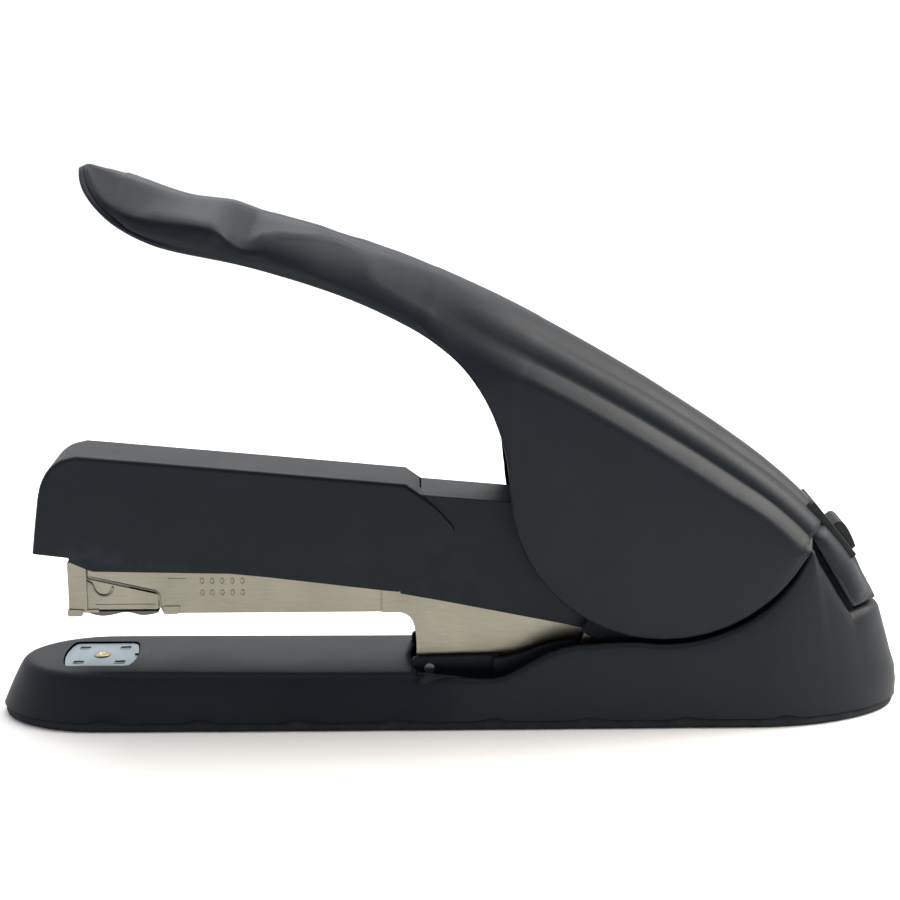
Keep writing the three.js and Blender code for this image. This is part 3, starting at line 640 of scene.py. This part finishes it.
FACET_SHARES = (0.12, 0.2, 0.3, 0.42, 0.54, 0.66, 0.78, 0.89, 0.97)
WALL_SHARES = (0.06, 0.16, 0.28, 0.42, 0.58)


def outline_normal(x, y):
    """Outward direction of the handle's plan outline near the tip."""
    along = max(0.0, (TIP_START - x) / TIP_LENGTH)
    across = y / GRIP_HALF_WIDTH
    return Vector((-along ** 1.2 / TIP_LENGTH, across ** 1.2 / GRIP_HALF_WIDTH)).normalized()


def tip_section(top, rim):
    """A row of points at the rounded tip: the facet down to its crease, then the wall and its lip."""
    crown = Vector((top.x, 0.0, top.y))
    crease = Vector(table_at(TIP_CREASE, max(top.x, TIP_CREASE[0][0])))
    span = crease - crown
    ridge_share = 3.4 * smooth_step(-86.5, -74, top.x) / max(span.y, 0.01)
    row = [crown]
    for share in FACET_SHARES:
        fall = max(0.0, share - ridge_share) / max(0.05, 1 - ridge_share)
        row.append(crown + Vector((span.x * share, span.y * share, span.z * fall)))
    edge_y = handle_half_width(rim.x)
    out = outline_normal(rim.x, edge_y)
    foot = Vector((rim.x - 0.5 * out.x, max(0.0, edge_y - 0.5 * out.y), rim.y))
    wall = foot - crease
    row += [crease + wall * share for share in WALL_SHARES]
    tall = max(wall.length, 0.01)
    short = min(1.0, tall / 3.2)
    for height, push, _ in RIM_SHAPE:
        reach = (push + 0.5) * short
        row.append(foot - wall * (height * short / tall) + Vector((reach * out.x, reach * out.y, 0.0)))
    return row


def section_columns(x, room, beside_tail):
    """(half width, depth) of a section's columns, fitted into the room above the rim."""
    values = table_at(SECTIONS, x)
    columns = list(zip(values[::2], values[1::2]))
    profile = [(0.0, 0.0)] + [(depth, y) for y, depth in columns]
    crease, deepest = columns[CREASE_COLUMN][1], columns[-1][1]
    squeeze = max(0.2, min(1.0, (room - 2.0 - crease) / max(deepest - crease, 0.1)))
    fitted = []
    for k, (y, depth) in enumerate(columns):
        if k > CREASE_COLUMN:
            depth = crease + (depth - crease) * squeeze
        if beside_tail:
            depth = max(0.0, min(depth, room - 0.05 * (len(columns) - k)))
            y = number_at(profile, depth)
        fitted.append((y, depth))
    return fitted


def side_stops(reach, at_tip):
    """(distance down the side, push outward) of the points from the last column to the rim."""
    short = min(1.0, reach / 2.0)
    upper = reach - RIM_SHAPE[0][0] * short
    stops = [(upper * share, 0.0) for share in (0.33, 0.67)]
    for height, tip_push, side_push in RIM_SHAPE:
        stops.append((reach - height * short, at_tip * tip_push + (1 - at_tip) * side_push))
    return stops


def handle_section(top, rim, direction):
    """One row of handle points, from the middle of the crown down to the rim, on the +Y side."""
    beside_tail = rim.x > APEX[0] - 0.1
    inward = (rim - top).normalized() if beside_tail else Vector((direction.y, -direction.x))
    row = [Vector((top.x, 0.0, top.y))]
    for y, depth in section_columns(top.x, (rim - top).length, beside_tail):
        place = top + depth * inward
        row.append(Vector((place.x, min(y, handle_half_width(place.x)), place.y)))
    last = row[-1]
    start = Vector((last.x, last.z))
    wall = rim - start
    for stop, push in side_stops(wall.length, 1 - smooth_step(-74, -58, top.x)):
        place = start + wall.normalized() * stop
        y = last.y if beside_tail else handle_half_width(place.x)
        row.append(Vector((place.x, max(0.0, y + push * min(1.0, y / 2.0)), place.y)))
    blend = smooth_step(-80, -67, top.x)
    if blend < 1:
        row = [a.lerp(b, blend) for a, b in zip(tip_section(top, rim), row)]
    return row


def handle_shell():
    """The handle in one skin: arched grip, round cheeks and tail, thinned towards both ends."""
    pairs = handle_stations()
    rows = []
    for i, (top, rim) in enumerate(pairs):
        ahead = pairs[min(i + 1, len(pairs) - 1)][0] - pairs[max(i - 1, 0)][0]
        rows.append(handle_section(top, rim, ahead.normalized()))
    verts = []
    for row in rows:
        verts += [(p.x, -p.y, p.z) for p in reversed(row[1:])] + [tuple(p) for p in row]
    part = verts, grid_faces(len(rows), 2 * len(rows[0]) - 1)
    piece = make_piece("handle_shell_outer", part, "handle", "black_plastic", ["handle_shell"])
    thin_ends = piece.vertex_groups.new(name="thickness")
    for index, vert in enumerate(verts):
        share = min(smooth_step(-89, -74, vert[0]), 1 - smooth_step(96, 107, vert[0]))
        thin_ends.add([index], 0.12 + 0.88 * share, "REPLACE")
    weld(piece)
    thicken(piece, 2.0).vertex_group = "thickness"
    even_normals(piece)


# ---- base
APEX_ON_BASE = (88.9, 45.4)
SHELL_FOOT = 2.5
WALL_DRAFT = 0.0026             # how much narrower the base gets per millimetre of height
FRONT_CENTRE = -86.5
FRONT_REACH = 27.5
REAR_CENTRE = 79.0
REAR_REACH = 35.8
RIM_LINE = ([Vector((-200, PAD_TOP)), Vector((10, 13.0))]
            + catmull([(10, 13.0), (13, 13.7), (17, 15.7), (24, 19.5), (30, 21.3)], 8)
            + arc(HANDLE_PIVOT, CHEEK_RADIUS + 1.5, -101.5, -21.6, 60) + [Vector(APEX_ON_BASE)]
            + [Vector((100.4, 27.7)), Vector((200, 27.9))])


def base_lean(x, z):
    """How far the outside of the base leans in at height z."""
    rear = max(0.0, (x - 70) / 45)
    front = max(0.0, (-80 - x) / 35)
    return -0.285 * max(0.0, z - 8) * rear * smooth_step(3, 14, z) + 0.20 * max(0.0, z) * front


def rim_height(x):
    """Height at which the leaning line from x on the ground crosses the rim."""
    z = SHELL_FOOT
    while z < 60:
        at = x + base_lean(x, z)
        for a, b in zip(RIM_LINE, RIM_LINE[1:]):
            if a.x <= at <= b.x and a.x < b.x:
                rim = a.y + (b.y - a.y) * (at - a.x) / (b.x - a.x)
                if z >= rim:
                    return rim
        z += 0.1
    return RIM_LINE[-1].y


def base_plan(inset=0.0):
    """Points of half the base's plan, from the front tip to the rear tip."""
    points = []
    for i in range(31):
        a = math.pi - 0.5 * math.pi * i / 30
        points.append(Vector((FRONT_CENTRE + (FRONT_REACH - inset) * math.cos(a),
                              (BASE_FRONT_HALF_WIDTH - inset) * math.sin(a))))
    for i in range(1, 49):
        t = i / 48
        y = BASE_HALF_WIDTH - (BASE_HALF_WIDTH - BASE_FRONT_HALF_WIDTH) * (1 - t) ** 2
        points.append(Vector((FRONT_CENTRE + (10 - FRONT_CENTRE) * t, y - inset)))
    for x in (11, 12, 13, 14, 15.5, 17, 18.5, 20, 22, 24, 27, 30, 34, 38, 42, 46, 50, 54, 58, 62, 66, 70,
              73, 76):
        points.append(Vector((x, BASE_HALF_WIDTH - inset)))
    for i in range(61):
        a = 0.5 * math.pi - 0.5 * math.pi * i / 60
        along, across = max(0.0, math.cos(a)) ** 1.14, max(0.0, math.sin(a)) ** 1.14
        points.append(Vector((REAR_CENTRE + (REAR_REACH - inset) * along,
                              (BASE_HALF_WIDTH - inset) * across)))
    return points


def plan_normals(points):
    """Outward normals of the plan, along the middle plane at both tips."""
    normals = [Vector((-1, 0))]
    for before, after in zip(points, points[2:]):
        along = after - before
        normals.append(Vector((-along.y, along.x)).normalized())
    return normals + [Vector((1, 0))]


def sole_wave(x):
    """Height of the small scallops along the top of the sole."""
    phase = (x + 98.5) % 24.2
    return 0.9 * math.exp(-((phase - 12.1) / 2.6) ** 2) if -104 < x < 92 else 0.0


# Sections of the outside, as (inset, height) for the pad, and insets and drops for the low wall's rim.
PAD_EDGE = [(0, 2.5), (0.3, 3.6), (0.8, 5.6), (1.4, 7.8), (1.95, 9.6), (2.45, 11.1), (2.85, 12.1),
            (3.2, 12.75), (3.75, 13.25), (4.5, 13.58), (5.4, 13.7)]
RIM_INSETS = (0, 0, 0.02, 0.05, 0.08, 0.12, 0.16, 0.24, 0.42, 0.75, 1.2)
RIM_DROPS = (0.9, 0.42, 0.12, 0.0)


def pad_height(x):
    """Height of the pad's flat top, which rises a little towards the front."""
    return PAD_TOP + PAD_FRONT_RISE * (1 - smooth_step(-100, -5, x))


def shoulder_share(point, top):
    """1 along the seam beside the handle's tail, where the rim is widely rounded, 0 elsewhere."""
    x = point.x + base_lean(point.x, top)
    return smooth_step(88.7, 91, x) * (1 - 0.6 * smooth_step(99, 106, x))


def rim_point(k, top, wide):
    """Height of point k on the low wall's section, from its foot up and over its rounded rim."""
    straight = len(RIM_INSETS) - len(RIM_DROPS)
    if k < straight:
        return SHELL_FOOT + (top - 1.3 - 1.6 * wide - SHELL_FOOT) * k / (straight - 1)
    return top - RIM_DROPS[k - straight] * (1 + 1.6 * wide)


def base_section(point, normal, pad_share):
    """Outside of the base from the sole up and over its rim, as (x, y, z)."""
    top = rim_height(point.x)
    wide = shoulder_share(point, top)
    row = []
    for k, (inset, z) in enumerate(PAD_EDGE):
        pad_z = z * pad_height(point.x) / PAD_TOP
        height = pad_z * pad_share + rim_point(k, top, wide) * (1 - pad_share)
        if k == 0:
            height = SHELL_FOOT + sole_wave(point.x)
        across = inset * pad_share + RIM_INSETS[k] * (1 + 2.5 * wide) * (1 - pad_share)
        x = point.x + base_lean(point.x, height) - normal.x * across
        y = max(0.0, (point.y - normal.y * across) * (1 - WALL_DRAFT * height))
        row.append((x, y, height))
    return row


def under_pad(point, normal, edge):
    """The pad's flat top in to the middle plane, and its underside back out to the foot."""
    x, y, z = edge
    row = [(x, y * (1 - share), z) for share in (0.25, 0.6, 1.0)]
    row += [(x, 0.0, z - 1.6)] * 2
    row.append((point.x - normal.x * 2.2 + base_lean(point.x, 3), max(0, point.y - normal.y * 2.2), 2.8))
    return row


def inside_wall(point, normal, edge):
    """The inner face of the low wall, from its rim down to the foot."""
    top = edge[2]
    extra = 3.0 * shoulder_share(point, rim_height(point.x))
    row = []
    for inset, drop in ((1.9 + extra, 0.05), (2.3 + extra, 0.4), (2.4 + extra, 1.2)):
        row.append((point.x + base_lean(point.x, top - drop) - normal.x * inset,
                    max(0.0, (point.y - normal.y * inset) * (1 - WALL_DRAFT * top)), top - drop))
    for z in (max(3.2, min(top - 1.5, 6)), 3.0, 2.8):
        row.append((point.x + base_lean(point.x, z) - normal.x * (2.4 + extra),
                    max(0.0, point.y - normal.y * (2.4 + extra)), z))
    return row


def base_shell():
    """The base's shell: the pad in front, the low walls beside the slot, and the rear."""
    points = base_plan()
    rows = []
    for point, normal in zip(points, plan_normals(points)):
        row = base_section(point, normal, 1 - smooth_step(PAD_REAR, 9, point.x))
        inside = under_pad if point.x < PAD_REAR + 0.4 else inside_wall
        rows.append(row + inside(point, normal, row[-1]))
    piece = make_piece("base_shell_outer", whole_skin(rows), "root", "black_plastic", ["base_shell"])
    carve(piece, flat(anvil_outline(0.25), PAD_TOP - 0.6, PAD_TOP + 3))
    weld(piece)


def slot_surround():
    """Ledges and floors beside the magazine's slot, between the pad and the rear."""
    front = [(PAD_REAR + 0.3, 8.6), (12, 8.6), (12, 16.7), (PAD_REAR + 0.8, 16.2), (PAD_REAR + 0.3, 15.6)]
    rise = catmull([(12, 16.5), (17, 17.4), (24, 19.9), (31, 21.2)], 6)
    rear = [(10.5, 8.6), (16, 8.6), (31, 18)] + [tuple(p) for p in reversed(rise)] + [(10.5, 16.4)]
    front_floor = [(PAD_REAR - 0.1, 8.6), (12.6, 8.6), (12.6, 10.6), (PAD_REAR - 0.1, 10.6)]
    rear_floor = [(12, 8.6), (13, 8.6), (21, 12), (28, 15.4), (28, 18.4), (21, 15), (12, 10.6)]
    parts = [plate(front, 9, 10.4), plate(rear, 10.7, 12.1), plate(front_floor, 9, 14.8),
             plate(rear_floor, 10.7, 17.2)]
    soften(make_piece("base_slot_surround", both_sides(*parts), "root", "black_plastic"), 0.35, 3)


def anvil_outline(grow):
    """Outline of the anvil plate in plan: straight sides, bulged ends and small corners."""
    half, corner, bulge = 8.75 + grow, 6.2 + grow, 9.1 + grow
    side = catmull([(ANVIL_X + corner, -half), (ANVIL_X + corner + 1.5, -half + 0.55),
                    (ANVIL_X + bulge - 0.5, -half + 3.4), (ANVIL_X + bulge, 0),
                    (ANVIL_X + bulge - 0.5, half - 3.4), (ANVIL_X + corner + 1.5, half - 0.55),
                    (ANVIL_X + corner, half)], 6)
    other = [Vector((2 * ANVIL_X - p.x, -p.y)) for p in side]
    return [tuple(p) for p in side + other]


def horn_lining():
    """Walls inside the horns that close the gap round the cheeks, in a plastic darker than the base:
    painted shade for the shadowed gap.
    """
    outside = arc(HANDLE_PIVOT, 42.5, -119, -27, 36)
    inside = arc(HANDLE_PIVOT, 35.5, -27, -119, 36)
    ring = plate([tuple(p) for p in outside + inside], 12.8, 13.8)
    tail = plate([(85.0, 43.0), (89.2, 47.6), (100.6, 29.2), (100.6, 24.5), (95.0, 24.5)], 8.0, 8.8)
    # The lining uses the darker plastic, painted shade in the gap round the cheeks and beside the tail.
    piece = make_piece("base_horn_lining", both_sides(ring, tail), "root", "dark_plastic", material=GAP_SHADE)
    soften(piece, 0.2, 2)


SOLE_EDGE = ((2.2, 0.0), (0.9, 0.05), (0.45, 0.25), (0.2, 0.7), (0.05, 1.4))


def base_sole():
    """The anti-slip sole, rounded below and scalloped along its upper edge."""
    points = base_plan(0.5)
    rows = []
    for point, normal in zip(points, plan_normals(points)):
        top = 2.3 + sole_wave(point.x)
        row = [(point.x, 0.0, 0.0)]
        for inset, z in SOLE_EDGE + ((0.0, top - 0.1), (0.15, top)):
            row.append((point.x - normal.x * inset + base_lean(point.x, z),
                        max(0.0, point.y - normal.y * inset), z))
        row.append((point.x - normal.x * 1.2, max(0.0, point.y - normal.y * 1.2), top))
        row.append((point.x, 0.0, 2.2))
        rows.append(row)
    weld(make_piece("base_sole_pad", whole_skin(rows), "root", "sole_rubber", ["base_sole"]))


# ---- anvil
def anvil_plate():
    """The steel plate with four clinch grooves, each deeper along its middle."""
    part = flat(anvil_outline(0), 13.15, 13.85)
    piece = make_piece("anvil_plate_pressed", part, "anvil", "bright_steel", ["anvil_plate"])
    for side in (-1, 1):
        for end in (-1, 1):
            x, y = ANVIL_X + 5.2 * end, 5.3 * side
            carve(piece, flat(rectangle(x - 1.3, y - 1.25, x + 1.3, y + 1.25), 13.47, 14.5))
            carve(piece, flat(rectangle(x - 1.1, y - 0.45, x + 1.1, y + 0.45), 13.3, 14.5))
    soften(piece, 0.12, 2)


def anvil_post():
    """The anvil's post, its head riveted over in the middle of the plate."""
    profile = [(0.0, 5.6), (1.95, 5.6), (1.95, 13.45), (2.1, 13.75), (2.12, 14.0), (1.9, 14.17),
               (1.2, 14.2), (0.8, 14.1), (0.45, 13.87), (0.0, 13.81)]
    make_piece("anvil_post_rivet", lathe(profile, ANVIL_X), "anvil", "bright_steel", ["anvil_post"], BRONZE)


# ---- head cover and housing
def head_half(x, z, rows):
    """Half width of the sloping head at a point, from rows of (half width, z at x = -90)."""
    level = z - HEAD_SLOPE * (x + 90)
    return number_at(sorted((b, a) for a, b in rows), level)


def tapered_prism(outline, rows, skip):
    """A hollow cap from an outline in X and Z: tapering side faces and strips along its edge."""
    halves = [head_half(x, z, rows) for x, z in outline]
    verts = [(x, -half, z) for (x, z), half in zip(outline, halves)]
    verts += [(x, half, z) for (x, z), half in zip(outline, halves)]
    return verts, prism_faces(outline, skip)


def mark_edges(piece, chooser):
    """Sets each edge's bevel weight from chooser(a, b), its ends in millimetres."""
    mesh = piece.data
    layer = mesh.attributes.new("bevel_weight_edge", "FLOAT", "EDGE")
    for edge in mesh.edges:
        a, b = (mesh.vertices[i].co / MM for i in edge.vertices)
        layer.data[edge.index].value = chooser(a, b)


def weighted_bevel(piece, width, segments):
    """Large fillets along the marked edges."""
    modifier = piece.modifiers.new("fillet", "BEVEL")
    modifier.width = width * MM
    modifier.segments = segments
    modifier.limit_method = "WEIGHT"


COVER_SECTION = [(10.85, 26), (10.2, 52), (9.3, 69.4)]


def head_cover():
    """The cap over the front of the drive arm, open below, with a rear edge that comes to a point."""
    nose = catmull([(-101.0, 57.6), (-100.1, 61.2), (-98.2, 64.6), (-95.2, 67.0), (-91.2, 68.1)], 5)
    outline = ([(-94.0, 42.8), (-102.8, 43.9), (-101.9, 51)] + [tuple(p) for p in nose]
               + [(-50, 64.3), (-11.1, 60.6), (-7.6, 58.1), (-2.6, 53.3), (0.2, 50.1), (0.75, 48.9),
                  (0.35, 47.7), (-12.9, 33.5), (-18.3, 34.1), (-32.4, 35.9), (-45.1, 37.5), (-54.6, 38.5),
                  (-88, 39.3), (-89.5, 39.8), (-93.3, 41.5)])
    n = len(outline)
    top_end = len(nose) + 4
    skip = {tuple(sorted((i, (i + 1) % n))) for i in range(n) if not 1 <= i <= top_end}
    part = tapered_prism(outline, COVER_SECTION, skip)
    piece = make_piece("head_cover_shell", part, "drive_arm", "black_plastic", ["head_cover"])

    def round_edge(a, b):
        along_side = a.y * b.y > 0
        on_top = min(a.z, b.z) > 50 and max(a.x, b.x) < -7 or max(a.x, b.x) < -99.5
        return 1.0 if along_side and on_top else 0.0
    mark_edges(piece, round_edge)
    weighted_bevel(piece, 2.6, 6)
    thicken(piece, 1.3)
    soften(piece, 0.28, 2, 50)


HOUSING_SECTION = [(10.3, 20), (9.8, 50), (8.6, 66)]


def rear_housing():
    """The housing behind the head cover, with laps that reach in under the cover's rear edge."""
    outline = [(-12.5, 32.9), (-1, 30.7), (27.3, 24.9), (54, 18.7), (54, 34), (28, 54.6), (-7.2, 57.8),
               (-2.45, 53.45), (0.35, 50.25), (0.9, 48.9), (0.5, 47.7), (-12.65, 33.7)]
    skip = {(0, 1), (1, 2), (2, 3), (3, 4), (0, 11), (8, 9), (9, 10), (10, 11), (7, 8), (6, 7)}
    lap = plate([(-9.0, 37.8), (-1.6, 47.9), (-2.0, 49.6), (-8.4, 56.4), (-2, 56.2), (6, 50), (6, 42),
                 (-2, 37.8)], 7.5, 7.9)
    part = join(tapered_prism(outline, HOUSING_SECTION, skip), both_sides(lap))
    piece = make_piece("rear_housing_shell", part, "drive_arm", "black_plastic", ["rear_housing"])
    mark_edges(piece, lambda a, b: 1.0 if a.y * b.y > 0 and min(a.z, b.z) > 54 else 0.0)
    weighted_bevel(piece, 2.6, 5)
    thicken(piece, 1.1)
    soften(piece, 0.28, 2, 50)


# ---- magazine and nose
def rounded(outline, radius, pieces=4):
    """The outline with its corners cut by arcs of about the given radius."""
    out = []
    n = len(outline)
    for i in range(n):
        before, at, after = (Vector(outline[(i + k) % n]) for k in (-1, 0, 1))
        back, ahead = before - at, after - at
        reach = min(radius, 0.45 * back.length, 0.45 * ahead.length)
        start, end = at + back.normalized() * reach, at + ahead.normalized() * reach
        for k in range(pieces + 1):
            t = k / pieces
            out.append(tuple(start.lerp(at, t).lerp(at.lerp(end, t), t)))
    return out


def magazine_sheath():
    """The nickel-plated channel: side walls with a rolled front edge, floor, bridge and front tab."""
    (_, _, bottom), (rear, outer, top) = box_mm("magazine_sheath")
    side = rounded([(-90.0, 39.6), (-90.0, 36.7), (-73.2, 32.9), (-72.3, 32.0), (-72.0, 28.9),
                    (-71.3, 27.25), (rear, bottom), (rear, top)], 0.5)
    walls = both_sides(plate(side, outer - 0.6, outer))
    floor = flat(rectangle(-66.5, -6.6, rear, 6.6), bottom, 27.8)
    bridge = flat(rectangle(-22, -6.6, 4, 6.6), 38.9, top)
    tab = plate(rounded([(-71.6, 27.1), (-67.9, 27.1), (-67.3, 29.2), (-71.6, 29.2)], 0.5), 7.0, 7.45)
    lip = ridge([(-89.8, 7.05, 36.95), (-82, 7.05, 35.1), (-73.4, 7.05, 33.1), (-72.5, 7.05, 32.3),
                 (-72.2, 7.05, 29.2), (-71.6, 7.05, 27.6)], 0.28)
    part = join(walls, floor, bridge, both_sides(tab, lip))
    piece = make_piece("magazine_sheath_pressed", part, "magazine", "nickel_steel", ["magazine_sheath"])
    soften(piece, 0.1, 2)


def stamped_marks():
    """Two rows of small plain rings and a dash, stamped into the sheath's side."""
    marks = []
    angles = [math.pi * step / 5 for step in range(11)]
    for z in (35.6, 32.6):
        for k in range(5):
            x = -61.8 + 2.5 * k
            loop = [(x + 0.45 * math.cos(a), -7.08, z + 0.7 * math.sin(a)) for a in angles]
            marks.append(ridge(loop, 0.13, 6))
    marks.append(ridge([(-70.3, -7.1, 36.3), (-65.8, -7.1, 36.3)], 0.16, 6))
    make_piece("magazine_stamped_marks", join(*marks), "magazine", "nickel_steel")


def arm_plates():
    """The two plates that carry the sheath back to the arm pin."""
    inner, outer = (corner[1] for corner in box_mm("arm_plate_left"))
    edge = catmull([(-12.7, 27.4), (-10.9, 26.7), (-9.7, 25.4), (-9, 23.3), (-8.7, 20), (-8.6, 14.3)], 6)
    pivot = arc((82, 30), 8, -117, 90, 24)
    outline = ([(-17.2, 37.4), (-17.2, 27.4)] + [tuple(p) for p in edge] + [(38, 14.2), (76, 22)]
               + [tuple(p) for p in pivot] + [(44, 32.2)])
    left = plate(outline, inner, outer)
    for node, part in (("arm_plate_left", left), ("arm_plate_right", mirrored(left))):
        piece = make_piece(node + "_sheet", part, "magazine", "nickel_steel", [node])
        soften(piece, 0.15, 2)


def nose_piece():
    """The drawer's pressed nose: front, cheeks with a spring hook and a fold, feet and toes."""
    front_strip = rounded([(-95.0, 40.6), (-95.0, 26.8), (-93.2, 26.8), (-92.4, 27.6), (-91.2, 28.2),
                           (-90.4, 28.4), (-90.4, 40.6)], 0.4)
    inner = rounded([(-90.8, 39.8), (-90.8, 28.2), (-72.9, 28.2), (-72.7, 32.0), (-90.3, 36.2),
                     (-90.3, 39.8)], 0.4)
    strip = plate(front_strip, 6.5, 7.1)
    wall = plate(inner, 6.1, 6.6)
    foot = plate(rounded([(-95.3, 26.7), (-91.8, 26.7), (-91.2, 28.3), (-95.3, 28.6)], 0.4), 6.9, 7.5)
    toe = plate(rounded([(-91.6, 27.5), (-87.6, 27.5), (-87.6, 28.3), (-91.6, 28.3)], 0.3), 6.5, 7.0)
    hook = ridge(catmull([(-91.0, 6.7, 35.9), (-89.3, 6.7, 35.0), (-88.6, 6.7, 33.4), (-87.4, 6.7, 32.1),
                          (-85.6, 6.7, 31.9), (-84.4, 6.7, 32.8), (-84.0, 6.7, 34.2)], 6), 0.33)
    fold = ridge([(-88.6, 6.6, 29.5), (-73.4, 6.6, 29.5)], 0.2)
    front = plate(rounded([(-95.0, 28.2), (-94.4, 28.2), (-94.4, 40.6), (-95.0, 40.6)], 0.15), -7.0, 7.0)
    part = join(front, both_sides(strip, wall, foot, toe, hook, fold))
    piece = make_piece("nose_piece_pressed", part, "staple_drawer", "nickel_steel", ["nose_piece"])
    soften(piece, 0.14, 2)


def nose_leaf_spring():
    """The blued strip under the nose, with two waves."""
    (front, _, _), (rear, half, _) = box_mm("nose_leaf_spring")
    under = catmull([(front, 26.9), (-87.6, 26.1), (-84.9, 26.3), (-82, 26.95), (-80, 26.9), (-77.6, 26.25),
                     (-75.4, 26.3), (rear, 26.9)], 6)
    part = plate([tuple(p) for p in under] + [(rear, 27.35), (front, 27.35)], -half, half)
    piece = make_piece("nose_leaf_spring_strip", part, "staple_drawer", "blued_steel", ["nose_leaf_spring"])
    soften(piece, 0.1, 2, 50)


# ---- release button
TAIL_PLACE = Vector((94.75, 47.55))
TAIL_ANGLE = math.atan2(-18.5, 15.5)


def on_tail(part):
    """Moves a part drawn with x down the spine and z out of it to its place on the tail."""
    along = Vector((math.cos(TAIL_ANGLE), math.sin(TAIL_ANGLE)))
    out = Vector((-along.y, along.x))
    verts = []
    for x, y, z in part[0]:
        place = TAIL_PLACE + along * x + out * z
        verts.append((place.x, y, place.y))
    return verts, part[1]


def button_bezel():
    """The frame round the release button: two bars and two cross pieces."""
    outer = box_mm("button_bezel")[1][1]
    side = plate(rounded([(-8.6, -1.2), (9.3, -0.6), (9.3, 1.1), (-8.4, 1.35)], 0.55), outer - 1.4, outer)
    ends = [plate(rounded([(-8.9, -1.2), (-0.8, -0.6), (-0.8, 1.2), (-8.5, 1.35)], 0.55), -6.2, 6.2),
            plate(rounded([(8.6, -1.2), (9.5, -1.2), (9.5, 1.05), (8.6, 1.05)], 0.3), -6.2, 6.2)]
    part = on_tail(join(both_sides(side), *ends))
    soften(make_piece("button_bezel_frame", part, "handle", "dark_plastic", ["button_bezel"]), 0.35, 3)


def release_button():
    """The button's cap, highest near its upper end."""
    half = box_mm("release_button")[1][1]
    crown = catmull([(-0.1, 2.6), (0.6, 3.35), (1.8, 3.6), (4, 3.35), (6.4, 2.8), (8.1, 2.2)], 5)
    outline = [tuple(p) for p in crown] + [(8.1, -3.2), (-0.1, -3.2)]
    piece = make_piece("release_button_cap", on_tail(plate(outline, -half, half)), "release_button",
                       "dark_plastic", ["release_button"])
    soften(piece, 0.5, 4, 50)


# ---- camera, light and floor
def point_along(item, direction):
    """Turns a camera or lamp to look along a direction."""
    item.rotation_mode = "QUATERNION"
    item.rotation_quaternion = direction.to_track_quat("-Z", "Y")


def make_camera():
    """A long lens, almost square to the side and a little above it."""
    azimuth, elevation, distance = math.radians(-1.4), math.radians(13.6), 0.458
    target = Vector((0, 0, 0.067))
    back = Vector((math.sin(azimuth) * math.cos(elevation), -math.cos(azimuth) * math.cos(elevation),
                   math.sin(elevation)))
    camera = add_object("camera", bpy.data.cameras.new("camera"))
    camera.location = target + back * distance
    point_along(camera, -back)
    camera.data.sensor_width = 36
    camera.data.lens = 73.6
    camera.data.clip_start = 0.01
    bpy.context.scene.camera = camera


def soft_light(name, place, aim, size, power, colour):
    """A rectangular panel lamp."""
    data = bpy.data.lights.new(name, "AREA")
    data.shape = "RECTANGLE"
    data.size, data.size_y = size
    data.energy = power
    data.color = colour
    light = add_object(name, data)
    light.location = place
    point_along(light, Vector(aim) - Vector(place))


def overcast_sun():
    """A very wide sun: an even white floor and soft light from above."""
    data = bpy.data.lights.new("sky_sun", "SUN")
    data.energy = 1.5
    data.angle = math.radians(70)
    data.color = (1.0, 0.975, 0.94)
    point_along(add_object("sky_sun", data), Vector((-0.12, -0.35, -1)))


def studio_world():
    """White all round and behind the object, dark only on the side that it faces."""
    world = bpy.data.worlds.new("studio")
    bpy.context.scene.world = world
    world.use_nodes = True
    tree = world.node_tree
    background = tree.nodes["Background"]
    place = tree.nodes.new("ShaderNodeTexCoord")
    split = tree.nodes.new("ShaderNodeSeparateXYZ")
    tree.links.new(place.outputs["Generated"], split.inputs[0])
    ramp = tree.nodes.new("ShaderNodeMapRange")
    ramp.interpolation_type = "SMOOTHSTEP"
    tree.links.new(split.outputs["Y"], ramp.inputs[0])
    for index, value in ((1, -0.8), (2, 0.3), (3, 0.13), (4, 1.03)):
        ramp.inputs[index].default_value = value
    tree.links.new(ramp.outputs[0], background.inputs["Strength"])
    background.inputs["Color"].default_value = (0.99, 0.995, 1.0, 1)


def make_studio():
    """The world, the lamps and a wide white floor just under the sole."""
    studio_world()
    overcast_sun()
    soft_light("right_panel", (0.62, 0.06, 0.5), (0.05, 0, 0.06), (0.45, 0.5), 8.5, (1.0, 0.94, 0.85))
    soft_light("back_panel", (-0.1, 0.62, 0.72), (0, 0, 0.05), (0.9, 0.4), 3.6, (0.95, 0.98, 1.0))
    reach, level = 60000, -0.05
    verts = [(x, y, level) for x, y in rectangle(-reach, -reach, reach, reach)]
    floor = add_object("floor", make_mesh("floor", verts, [(0, 1, 2, 3)]))
    floor.data.materials.append(coated_floor())
    bpy.context.scene.view_settings.view_transform = "Standard"


make_camera()
make_studio()
finish_cad_nodes()
handle_shell()
button_bezel()
release_button()
head_cover()
rear_housing()
base_shell()
slot_surround()
horn_lining()
base_sole()
anvil_plate()
anvil_post()
magazine_sheath()
stamped_marks()
arm_plates()
nose_piece()
nose_leaf_spring()

bpy.context.view_layer.update()
